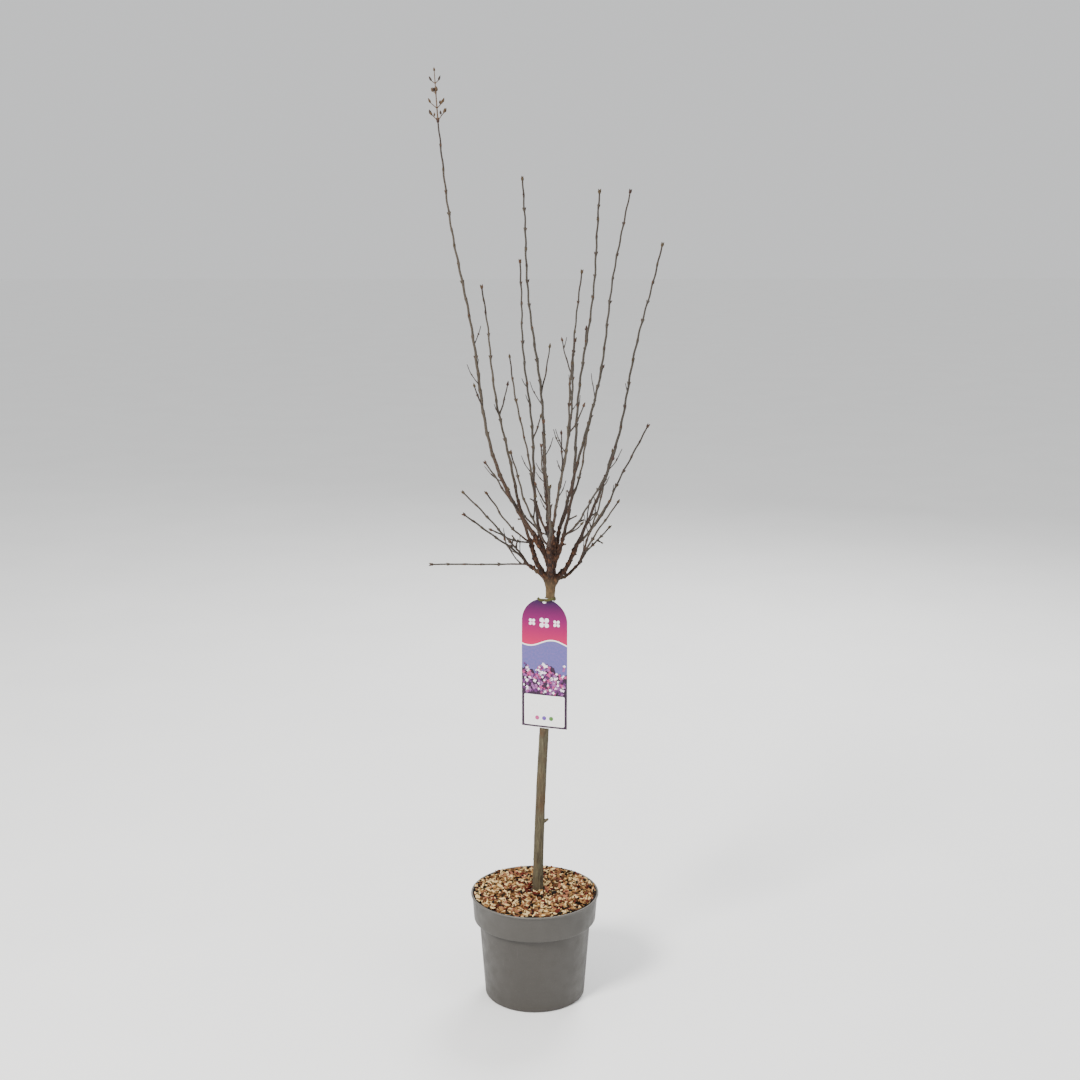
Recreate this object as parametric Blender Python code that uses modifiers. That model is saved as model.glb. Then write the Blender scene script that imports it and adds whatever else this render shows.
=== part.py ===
"""A lilac standard in its round nursery pot: a short grafted trunk with a bare, dormant crown.

Metres, +Z up. The origin is the centre of the pot's flat underside, and the hang tag faces -Y.
Azimuths are in degrees: 0 is +X, 90 is +Y. Leans are in degrees above the horizontal.
"""
import math
import random
from collections import namedtuple

import bmesh
import bpy
import numpy as np
from mathutils import Matrix, Vector, noise

# Clearance between pieces that touch
GAP = 0.0003
WELD_DISTANCE = 0.00001
MERGE_DISTANCE = 0.00005
SHARP_ANGLE = 40.0

# Pot: a tapered body, and a wide collar band whose underside slants in to it
POT_HEIGHT = 0.179
POT_BASE_RADIUS = 0.0835
POT_BODY_RADIUS = 0.0933
POT_WALL = 0.0016
POT_FLOOR = 0.0022
POT_HEEL = 0.003
COLLAR_BAND_HEIGHT = 0.045
COLLAR_FOOT_RADIUS = 0.1020
COLLAR_TOP_RADIUS = 0.1052
COLLAR_DROP = 0.003
COLLAR_SHELF = 0.0012
LIP_RADIUS = 0.0018
LIP_ARC_STEPS = 6
POT_SEGMENTS = 48
DRAIN_HOLES = 6
DRAIN_HOLE_RADIUS = 0.0055
DRAIN_CIRCLE_RADIUS = 0.066
DRAIN_TURN = 11.0
DRAIN_SIDES = 10

# Growing medium and the bark chips on it
SOIL_HEIGHT = 0.164
MULCH_EDGE_HEIGHT = 0.178
MULCH_CENTRE_HEIGHT = 0.184
MULCH_RINGS = 5
MULCH_ROUGHNESS = 0.0024
MULCH_GRAIN = 95.0
MULCH_EDGE_MARGIN = 0.002
FOOT_CLEARANCE = 0.0008
FOOT_SPACE_REACH = 0.030
FOOT_SPACE_SIDES = 24

# Trunk: its foot stands on the growing medium, its top is the fork
TRUNK_FOOT_X = 0.0045
FORK_X = 0.0275
FORK_HEIGHT = 0.776
TRUNK_WAVE = 0.0016
TRUNK_POINTS = 14
TRUNK_SIDES = 10
TRUNK_CUT = 0.004
# Height above the growing medium, and radius there: root flare, clean stem, graft swelling, fork
TRUNK_TAPER = (
    (0.000, 0.0125),
    (0.006, 0.0108),
    (0.018, 0.0094),
    (0.050, 0.0084),
    (0.300, 0.0078),
    (0.520, 0.0073),
    (0.550, 0.0086),
    (0.575, 0.0076),
    (0.598, 0.0074),
    (0.612, 0.0066),
)

# Limbs
BOUGH_SIDES = 8
BOUGH_SEGMENTS = 7
BOUGH_STRAIGHT_ENDS = 2
BOUGH_KNOBS = 0.10
SHOULDER_EXTRA = 0.002
SHOULDER_FLARE = 1.15

# Twigs of the bare crown
TWIG_SIDES = 3
THREE_SIDED_SWELL = 1.22
STEM_LENGTH = 0.012
STEM_SHARE = 0.97
STEM_TAPER = 0.85
WHIP_START = 0.55
WHIP_LEAST_SEGMENTS = 6
WHIP_STEP = 0.044
WHIP_TIP_RADIUS = 0.0013
WHIP_WANDER = 0.010
WHIP_WAVES = 1.3
FLARE_POWER = 6
BASE_CROWDING = 1.5
CROWN_REACH = 0.208
CROWN_TOP = 1.510
TWIG_CLEARANCE = 0.0015
SAMPLE_STEP = 0.003

# No twig runs along this vector, so a sideways direction can be taken from it
TWIST_REFERENCE = Vector((0.2, 0.3, 1))

# Side twigs that the seeded rule adds
SIDE_TWIG_CHANCE = 0.24
SIDE_TWIG_ZONE = (0.06, 0.62)
SIDE_TWIG_LENGTH = (0.022, 0.075)
SIDE_TWIG_LEAN = (28.0, 46.0)
SIDE_TWIG_RADIUS = 0.0014
SIDE_TWIG_TIP_RADIUS = 0.0010
SIDE_TWIG_SHARE = 0.8
SIDE_TWIG_RISE = 0.30
SIDE_TWIG_STEPS = 3
SPURS_PER_MASS = 2
SPUR_LENGTH = (0.007, 0.016)
SPUR_RADIUS = 0.0016
SPUR_TIP_RADIUS = 0.0011
SPUR_LEAN = 55.0
SPUR_ZONE = (0.012, 0.060)

# Buds stand in opposite pairs, each pair square to the last
BUD_SPACING = 0.062
BUD_SPACING_SPREAD = 0.25
BUD_LENGTH = 0.0062
BUD_RADIUS = 0.0017
BUD_LEAN = 34.0
BUD_STANDOUT = 0.32
BUD_INSET = 0.5
END_BUD_SCALE = 1.35
END_BUD_LEAN = 20.0
BUD_REACH = 0.004
FIRST_BUD = 0.045

# Dried flower head at the top of the tallest shoot
PANICLE_LENGTH = 0.072
PANICLE_PAIRS = 4
PANICLE_BRANCH = 0.017
PANICLE_LEAN = 50.0
PANICLE_RADIUS = 0.0010
PANICLE_BRANCH_RADIUS = 0.0009
PANICLE_LIFT = 0.6
PANICLE_TURN = 70.0
PANICLE_NARROWING = 0.75
CAPSULE_INSET = 0.1
CAPSULE_LENGTH = 0.0085
CAPSULE_RADIUS = 0.0021

# Hang tag and its wire tie
TIE_HEIGHT = 0.6840
TIE_RADIUS = 0.0008
TIE_SIDES = 6
TIE_STEPS = 2
TIE_OFFSET = -0.0060
TIE_STRAND = 0.0012
TIE_ARC = (205, -75, -30)
TIE_END_SPREAD = 0.0135
TIE_END_RISE = 0.0090
TIE_END_DEPTH = 0.0040
TAG_WIDTH = 0.080
TAG_LENGTH = 0.219
TAG_THICKNESS = 0.0010
TAG_DISTANCE = 0.0122
TAG_YAW = -20.0
TAG_HOLE_RADIUS = 0.0028
TAG_HOLE_INSET = 0.0050
TAG_ARC_STEPS = 20
TAG_HOLE_STEPS = 12

SEED = 47

# One tapering limb: where it springs, its lean at root and tip, its length and its radii
Bough = namedtuple("Bough", "name azimuth height lean_root lean_tip length root tip")
BOUGHS = (
    Bough("bough_left", 190, 0.704, 60, 76, 0.046, 0.0047, 0.0036),
    Bough("bough_low_left", 148, 0.710, 34, 26, 0.030, 0.0032, 0.0026),
    Bough("bough_right", 350, 0.706, 50, 68, 0.050, 0.0046, 0.0036),
    Bough("bough_low_right", 26, 0.712, 13, 38, 0.040, 0.0028, 0.0023),
    Bough("bough_inner_right", 60, 0.722, 67, 72, 0.036, 0.0036, 0.0030),
    Bough("bough_leader_left", 200, 0.742, 58, 62, 0.026, 0.0044, 0.0038),
    Bough("bough_front", 264, 0.714, 54, 64, 0.046, 0.0042, 0.0034),
    Bough("bough_back", 90, 0.710, 44, 62, 0.050, 0.0042, 0.0034),
    Bough("bough_back_left", 124, 0.728, 58, 68, 0.040, 0.0037, 0.0031),
    Bough("bough_front_right", 310, 0.730, 60, 70, 0.036, 0.0038, 0.0031),
    Bough("bough_leader", 180, FORK_HEIGHT, 90, 84, 0.020, 0.0056, 0.0047),
)

# One main shoot: its tip's azimuth and reach from the fork's axis, the tip's height above the
# pot's underside, how much of the reach it makes in its first curve, and its radius at the foot
Whip = namedtuple("Whip", "azimuth reach height flare root")
MASSES = {
    "twigs_left": ("bough_left", (
        Whip(157, 0.120, 1.180, 0.25, 0.0028),
        Whip(232, 0.155, 0.822, 0.20, 0.0016),
        Whip(211, 0.120, 0.868, 0.20, 0.0018),
    )),
    "twigs_low_left": ("bough_low_left", (
        Whip(192, 0.142, 0.828, -0.10, 0.0023),
        Whip(162, 0.150, 0.850, -0.10, 0.0020),
        Whip(168, 0.200, 0.732, 0.00, 0.0016),
    )),
    "twigs_right": ("bough_right", (
        Whip(353, 0.170, 1.247, 0.18, 0.0028),
        Whip(322, 0.112, 0.856, 0.10, 0.0016),
        Whip(12, 0.158, 0.960, 0.15, 0.0020),
    )),
    "twigs_low_right": ("bough_low_right", (
        Whip(29, 0.126, 0.832, -0.10, 0.0021),
        Whip(346, 0.094, 0.806, -0.10, 0.0017),
        Whip(52, 0.170, 0.905, 0.10, 0.0018),
    )),
    "twigs_inner_right": ("bough_inner_right", (
        Whip(31, 0.146, 1.328, 0.15, 0.0027),
        Whip(58, 0.165, 1.045, 0.20, 0.0020),
    )),
    "twigs_leader": ("bough_leader", (
        Whip(226, 0.066, 1.345, 0.10, 0.0028),
        Whip(262, 0.105, 0.985, 0.05, 0.0022),
    )),
    "twigs_leader_left": ("bough_leader_left", (
        Whip(189, 0.175, 1.431, 0.42, 0.0034),
    )),
    "twigs_front": ("bough_front", (
        Whip(281, 0.160, 1.112, 0.25, 0.0023),
        Whip(268, 0.192, 0.900, 0.20, 0.0020),
        Whip(247, 0.165, 0.945, 0.22, 0.0020),
    )),
    "twigs_back": ("bough_back", (
        Whip(71, 0.160, 1.200, 0.22, 0.0026),
        Whip(94, 0.200, 0.905, 0.20, 0.0020),
        Whip(112, 0.180, 1.060, 0.25, 0.0022),
    )),
    "twigs_back_left": ("bough_back_left", (
        Whip(114, 0.122, 1.218, 0.20, 0.0026),
        Whip(136, 0.150, 0.890, 0.15, 0.0019),
    )),
    "twigs_front_right": ("bough_front_right", (
        Whip(297, 0.146, 1.325, 0.20, 0.0027),
        Whip(301, 0.172, 0.935, 0.20, 0.0019),
    )),
}
PANICLE_MASS = "twigs_leader_left"

COLLECTION = "lilac_standard"


def srgb(red, green, blue):
    """A colour seen as 8-bit values, as linear values with alpha."""
    linear = []
    for value in (red, green, blue):
        share = value / 255
        linear.append(share / 12.92 if share <= 0.04045 else ((share + 0.055) / 1.055) ** 2.4)
    return (*linear, 1.0)


# Name of each material, with its colour and roughness
FINISHES = {
    "pot_plastic": (srgb(111, 108, 103), 0.55),
    "growing_medium": (srgb(70, 52, 40), 0.95),
    "bark_chips": (srgb(160, 126, 94), 0.90),
    "trunk_bark": (srgb(118, 101, 78), 0.80),
    "bough_bark": (srgb(82, 60, 45), 0.85),
    "twig_bark": (srgb(104, 84, 66), 0.80),
    "tag_card": (srgb(190, 60, 130), 0.45),
    "tie_wire": (srgb(60, 66, 44), 0.60),
}


def clear_scene():
    for item in list(bpy.data.objects):
        bpy.data.objects.remove(item)


def make_collection(name):
    collection = bpy.data.collections.new(name)
    bpy.context.scene.collection.children.link(collection)
    return collection


def make_material(name):
    colour, roughness = FINISHES[name]
    material = bpy.data.materials.new(name)
    material.use_nodes = True
    shader = material.node_tree.nodes["Principled BSDF"]
    shader.inputs["Base Color"].default_value = colour
    shader.inputs["Roughness"].default_value = roughness
    shader.inputs["Metallic"].default_value = 0.0
    material.diffuse_color = colour
    return material


def add_object(name, data, collection):
    item = bpy.data.objects.new(name, data)
    collection.objects.link(item)
    return item


def evaluated_mesh(item):
    """The object's mesh after its modifiers."""
    bpy.context.view_layer.update()
    graph = bpy.context.evaluated_depsgraph_get()
    return bpy.data.meshes.new_from_object(item.evaluated_get(graph))


def closed_mesh(item):
    """A curve's mesh, with its loose caps welded and every face turned outward."""
    mesh = evaluated_mesh(item)
    shape = bmesh.new()
    shape.from_mesh(mesh)
    bmesh.ops.remove_doubles(shape, verts=shape.verts, dist=WELD_DISTANCE)
    bmesh.ops.recalc_face_normals(shape, faces=shape.faces)
    shape.to_mesh(mesh)
    shape.free()
    return mesh


def finish(item, material, smooth=True):
    item.data.materials.clear()
    item.data.materials.append(material)
    if smooth:
        item.data.shade_smooth()
        item.data.set_sharp_from_angle(angle=math.radians(SHARP_ANGLE))


def turned(name, profile, collection):
    """A profile of (radius, height) pairs, run down its outer side and turned about Z."""
    mesh = bpy.data.meshes.new(name)
    shape = bmesh.new()
    ring = [shape.verts.new((radius, 0, height)) for radius, height in profile]
    for start, end in zip(ring, ring[1:]):
        shape.edges.new((start, end))
    shape.to_mesh(mesh)
    shape.free()
    item = add_object(name, mesh, collection)
    screw = item.modifiers.new("turn", "SCREW")
    screw.steps = POT_SEGMENTS
    screw.render_steps = POT_SEGMENTS
    screw.use_merge_vertices = True
    screw.merge_threshold = MERGE_DISTANCE
    return item


def section(sides):
    """A regular outline of radius 1 m, which each limb's own radius scales down."""
    name = f"section_{sides}"
    if name in bpy.data.objects:
        return bpy.data.objects[name]
    curve = bpy.data.curves.new(name, "CURVE")
    curve.dimensions = "2D"
    spline = curve.splines.new("POLY")
    spline.points.add(sides - 1)
    spline.use_cyclic_u = True
    for index, point in enumerate(spline.points):
        angle = 2 * math.pi * index / sides
        point.co = (math.cos(angle), math.sin(angle), 0, 1)
    guide = add_object(name, curve, bpy.context.scene.collection)
    guide.hide_render = True
    return guide


def limb(name, points, radii, sides, collection):
    """A tapering tube with flat ends along the points."""
    curve = bpy.data.curves.new(name, "CURVE")
    curve.dimensions = "3D"
    curve.bevel_mode = "OBJECT"
    curve.bevel_object = section(sides)
    curve.use_fill_caps = True
    spline = curve.splines.new("POLY")
    spline.points.add(len(points) - 1)
    for knot, place, radius in zip(spline.points, points, radii):
        knot.co = (*place, 1)
        knot.radius = radius
    guide = add_object(name + "_line", curve, collection)
    mesh = closed_mesh(guide)
    mesh.name = name
    matrix = guide.matrix_world.copy()
    bpy.data.objects.remove(guide)
    item = add_object(name, mesh, collection)
    item.matrix_world = matrix
    return item


def fuse(item, pieces, solver):
    """Join a collection of closed pieces to the item, and drop what stays loose."""
    union = item.modifiers.new("fuse", "BOOLEAN")
    union.operation = "UNION"
    union.operand_type = "COLLECTION"
    union.collection = pieces
    union.solver = solver
    mesh = evaluated_mesh(item)
    item.modifiers.clear()
    item.data = mesh
    for piece in list(pieces.objects):
        bpy.data.objects.remove(piece)
    bpy.data.collections.remove(pieces)
    drop_scraps(mesh)


def drop_scraps(mesh):
    """Keep the largest connected body of a mesh."""
    shape = bmesh.new()
    shape.from_mesh(mesh)
    unseen = set(shape.verts)
    bodies = []
    while unseen:
        body = [unseen.pop()]
        for vert in body:
            for edge in vert.link_edges:
                other = edge.other_vert(vert)
                if other in unseen:
                    unseen.remove(other)
                    body.append(other)
        bodies.append(body)
    bodies.sort(key=len)
    for body in bodies[:-1]:
        bmesh.ops.delete(shape, geom=body, context="VERTS")
    shape.to_mesh(mesh)
    shape.free()


def heading(azimuth, lean):
    """Unit vector of an azimuth and a lean above the horizontal, both in degrees."""
    turn = math.radians(azimuth)
    rise = math.radians(lean)
    return Vector((math.cos(turn) * math.cos(rise), math.sin(turn) * math.cos(rise), math.sin(rise)))


def body_radius(height):
    """Outer radius of the pot's tapered body, up to the foot of its collar band."""
    body_height = POT_HEIGHT - COLLAR_BAND_HEIGHT - COLLAR_DROP
    return POT_BASE_RADIUS + (POT_BODY_RADIUS - POT_BASE_RADIUS) * height / body_height


def collar_radius(height):
    """Outer radius of the collar band."""
    share = (height - POT_HEIGHT + COLLAR_BAND_HEIGHT) / COLLAR_BAND_HEIGHT
    return COLLAR_FOOT_RADIUS + (COLLAR_TOP_RADIUS - COLLAR_FOOT_RADIUS) * share


def inner_wall(top):
    """The pot's inner wall from its floor up to the given height, with the slanting shelf of its collar."""
    band = POT_HEIGHT - COLLAR_BAND_HEIGHT
    return [
        (body_radius(POT_FLOOR) - POT_WALL, POT_FLOOR),
        (POT_BODY_RADIUS - POT_WALL, band - COLLAR_DROP + COLLAR_SHELF),
        (COLLAR_FOOT_RADIUS - POT_WALL, band + COLLAR_SHELF),
        (collar_radius(top) - POT_WALL, top),
    ]


def pot(collection, cutters):
    """Thin tapered wall with a wider band at the top, a rolled lip and a flat, drained floor."""
    band = POT_HEIGHT - COLLAR_BAND_HEIGHT
    lip_height = POT_HEIGHT - LIP_RADIUS
    inside = inner_wall(lip_height)
    lip_centre = inside[-1][0] + LIP_RADIUS
    lip = []
    for step in range(1, LIP_ARC_STEPS + 1):
        angle = math.pi - 1.5 * math.pi * step / LIP_ARC_STEPS
        lip.append((lip_centre + LIP_RADIUS * math.cos(angle), lip_height + LIP_RADIUS * math.sin(angle)))
    outside = [
        (COLLAR_FOOT_RADIUS, band),
        (POT_BODY_RADIUS, band - COLLAR_DROP),
        (body_radius(POT_HEEL), POT_HEEL),
        (body_radius(0) - POT_HEEL, 0),
    ]
    item = turned("pot", [(0, POT_FLOOR)] + inside + lip + outside + [(0, 0)], collection)
    for index in range(DRAIN_HOLES):
        add_drain_hole(item, index, cutters)
    return item


def add_drain_hole(item, index, cutters):
    place = heading(DRAIN_TURN + 360 * index / DRAIN_HOLES, 0) * DRAIN_CIRCLE_RADIUS
    mesh = bpy.data.meshes.new(f"drain_{index}")
    shape = bmesh.new()
    bmesh.ops.create_cone(
        shape, cap_ends=True, segments=DRAIN_SIDES,
        radius1=DRAIN_HOLE_RADIUS, radius2=DRAIN_HOLE_RADIUS, depth=4 * POT_FLOOR,
    )
    shape.to_mesh(mesh)
    shape.free()
    cutter = add_object(f"drain_{index}", mesh, cutters)
    cutter.location = place
    hide_cutter(cutter)
    cut(item, cutter)


def hide_cutter(cutter):
    cutter.hide_render = True
    cutter.display_type = "WIRE"


def cut(item, cutter):
    boolean = item.modifiers.new(cutter.name, "BOOLEAN")
    boolean.operation = "DIFFERENCE"
    boolean.object = cutter


def root_ball(collection):
    """The growing medium: it fills the pot up to the level that the trunk stands on."""
    wall = [(radius - GAP, height + GAP) for radius, height in inner_wall(SOIL_HEIGHT)]
    wall[-1] = (wall[-1][0], SOIL_HEIGHT)
    profile = [(0, SOIL_HEIGHT)] + wall[::-1] + [(0, POT_FLOOR + GAP)]
    return turned("root_ball", profile, collection)


def bark_mulch(collection, cutters):
    """A slightly mounded layer of chips on the growing medium, open round the trunk's foot."""
    seat = SOIL_HEIGHT + GAP
    edge = inner_wall(MULCH_EDGE_HEIGHT)[-1][0] - GAP
    profile = []
    for ring in range(MULCH_RINGS + 1):
        share = ring / MULCH_RINGS
        height = MULCH_CENTRE_HEIGHT + (MULCH_EDGE_HEIGHT - MULCH_CENTRE_HEIGHT) * share ** 2
        profile.append((edge * share, height))
    seat_edge = inner_wall(seat)[-1][0] - GAP
    item = turned("bark_mulch", profile + [(seat_edge, seat), (0, seat)], collection)
    mesh = evaluated_mesh(item)
    item.modifiers.clear()
    item.data = mesh
    for vert in mesh.vertices:
        is_top = vert.co.z > seat + MULCH_EDGE_MARGIN
        is_inside = math.hypot(vert.co.x, vert.co.y) < edge - MULCH_EDGE_MARGIN
        if is_top and is_inside:
            vert.co.z += MULCH_ROUGHNESS * noise.noise(vert.co * MULCH_GRAIN)
    cutter = foot_cutter(cutters)
    cut(item, cutter)
    return item


def foot_cutter(cutters):
    """A cone round the trunk's root flare, for the hole in the mulch."""
    reach = FOOT_SPACE_REACH
    middle = trunk_radius(SOIL_HEIGHT) + FOOT_CLEARANCE
    high = trunk_radius(SOIL_HEIGHT + reach) + FOOT_CLEARANCE
    mesh = bpy.data.meshes.new("foot_space")
    shape = bmesh.new()
    bmesh.ops.create_cone(
        shape, cap_ends=True, segments=FOOT_SPACE_SIDES,
        radius1=2 * middle - high, radius2=high, depth=2 * reach,
    )
    shape.to_mesh(mesh)
    shape.free()
    cutter = add_object("foot_space", mesh, cutters)
    cutter.location = (TRUNK_FOOT_X, 0, SOIL_HEIGHT)
    hide_cutter(cutter)
    return cutter


def trunk_centre(height):
    """The axis of the trunk, which leans and waves a little."""
    share = (height - SOIL_HEIGHT) / (FORK_HEIGHT - SOIL_HEIGHT)
    wave = TRUNK_WAVE * math.sin(2 * math.pi * share)
    return Vector((TRUNK_FOOT_X + (FORK_X - TRUNK_FOOT_X) * share - wave, wave / 2, height))


def trunk_radius(height):
    heights, radii = zip(*TRUNK_TAPER)
    return float(np.interp(height - SOIL_HEIGHT, heights, radii))


def trunk_line():
    """Points and radii of the trunk: its level cut, then evenly up it and wherever its taper changes."""
    foot = SOIL_HEIGHT + GAP
    heights = [float(height) for height in np.linspace(foot + TRUNK_CUT, FORK_HEIGHT, TRUNK_POINTS + 1)]
    heights.extend(SOIL_HEIGHT + station for station, _ in TRUNK_TAPER[1:-1])
    heights.sort()
    points = [trunk_centre(height) for height in heights]
    cut_centre = Vector((points[0].x, points[0].y, foot))
    radii = [trunk_radius(height) for height in [foot, *heights]]
    return [cut_centre, *points], radii


def shoulder_face(bough):
    """Centre of the flat face on the trunk where a limb starts, clear of the bark beside it."""
    lean = math.radians(bough.lean_root)
    length = (trunk_radius(bough.height) + SHOULDER_EXTRA) / math.cos(lean) + bough.root * math.tan(lean)
    return trunk_centre(bough.height) + heading(bough.azimuth, bough.lean_root) * length


def trunk(collection):
    """Root flare, leaning stem and the grafted head with a shoulder for each limb beside the fork."""
    item = limb("trunk", *trunk_line(), TRUNK_SIDES, collection)
    shoulders = make_collection("shoulders")
    for bough in BOUGHS:
        if bough.height < FORK_HEIGHT:
            line = [trunk_centre(bough.height), shoulder_face(bough)]
            sizes = [bough.root * SHOULDER_FLARE, bough.root]
            limb(bough.name + "_shoulder", line, sizes, BOUGH_SIDES, shoulders)
    fuse(item, shoulders, "EXACT")
    return item


def bough_line(bough):
    """Points of a limb from its shoulder to its tip, its radii, and its heading at the tip."""
    rng = random.Random(bough.name)
    direction = heading(bough.azimuth, bough.lean_root)
    seat = shoulder_face(bough) if bough.height < FORK_HEIGHT else trunk_centre(FORK_HEIGHT)
    place = seat + direction * GAP
    points = [place]
    bends = BOUGH_SEGMENTS - 2 * BOUGH_STRAIGHT_ENDS
    for index in range(BOUGH_SEGMENTS):
        turn = min(max(index - BOUGH_STRAIGHT_ENDS + 1, 0), bends) / bends
        if turn > 0:
            lean = bough.lean_root + (bough.lean_tip - bough.lean_root) * turn
            direction = heading(bough.azimuth, lean)
        place = place + direction * bough.length / BOUGH_SEGMENTS
        points.append(place)
    radii = []
    for index in range(len(points)):
        share = index / BOUGH_SEGMENTS
        knob = 1 + rng.uniform(-BOUGH_KNOBS, BOUGH_KNOBS) * math.sin(math.pi * share)
        radii.append((bough.root + (bough.tip - bough.root) * share) * knob)
    return points, radii, direction


class Growth:
    """What stands in the crown so far, as spheres, each with the name of its solid."""

    def __init__(self):
        self.centres = np.empty((0, 3))
        self.radii = np.empty(0)
        self.owners = np.empty(0, dtype=object)

    def add(self, owner, points, radii):
        centres, sizes = resample(points, radii)
        self.centres = np.vstack([self.centres, centres])
        self.radii = np.concatenate([self.radii, sizes])
        self.owners = np.concatenate([self.owners, np.full(len(sizes), owner, dtype=object)])

    def room(self, owner, points, radii):
        """Least free width between a new twig of one solid and all the other solids."""
        centres, sizes = resample(points, radii)
        others = self.owners != owner
        apart = np.linalg.norm(centres[:, None, :] - self.centres[None, others, :], axis=2)
        return float((apart - sizes[:, None] - self.radii[None, others]).min())


def resample(points, radii):
    """Evenly spaced places along a line, with the radius at each."""
    centres = []
    sizes = []
    for start, end, radius, next_radius in zip(points, points[1:], radii, radii[1:]):
        count = max(1, math.ceil((end - start).length / SAMPLE_STEP))
        for step in range(count):
            share = step / count
            centres.append(start.lerp(end, share))
            sizes.append(radius + (next_radius - radius) * share)
    centres.append(points[-1])
    sizes.append(radii[-1])
    return np.array(centres), np.array(sizes)


def taper(root, tip, count):
    """Radii that fall evenly from root to tip over a number of segments."""
    return [root + (tip - root) * index / count for index in range(count + 1)]


def whip_line(start, whip, rng):
    """A shoot that first spreads and then climbs, and wanders a little on the way."""
    tip = Vector((FORK_X, 0, 0)) + heading(whip.azimuth, 0) * whip.reach
    tip.z = whip.height
    span = tip - start
    count = max(WHIP_LEAST_SEGMENTS, round(span.length / WHIP_STEP))
    phases = [rng.uniform(0, 2 * math.pi) for _ in range(2)]
    points = []
    for index in range(count + 1):
        share = (index / count) ** BASE_CROWDING
        spread = whip.flare * (1 - (1 - share) ** FLARE_POWER) + (1 - whip.flare) * share
        wander = WHIP_WANDER * span.length * math.sin(math.pi * share)
        drift = [wander * math.sin(2 * math.pi * WHIP_WAVES * share + phase) for phase in phases]
        step = Vector((span.x * spread + drift[0], span.y * spread + drift[1], span.z * share))
        points.append(start + step)
    return points, taper(whip.root, WHIP_TIP_RADIUS, count)


def place_on(points, radii, distance):
    """Place, heading and radius at a distance along a line."""
    for start, end, radius, next_radius in zip(points, points[1:], radii, radii[1:]):
        length = (end - start).length
        if distance <= length:
            share = distance / length
            size = radius + (next_radius - radius) * share
            return start.lerp(end, share), (end - start).normalized(), size
        distance -= length
    return points[-1], (points[-1] - points[-2]).normalized(), radii[-1]


def line_length(points):
    return sum((end - start).length for start, end in zip(points, points[1:]))


def sideways(direction, turn):
    """A unit vector square to a heading, turned about it by an angle in degrees."""
    side = direction.cross(TWIST_REFERENCE).normalized()
    return Matrix.Rotation(math.radians(turn), 3, direction) @ side


def tilted(direction, side, lean):
    return direction * math.cos(math.radians(lean)) + side * math.sin(math.radians(lean))


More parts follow.
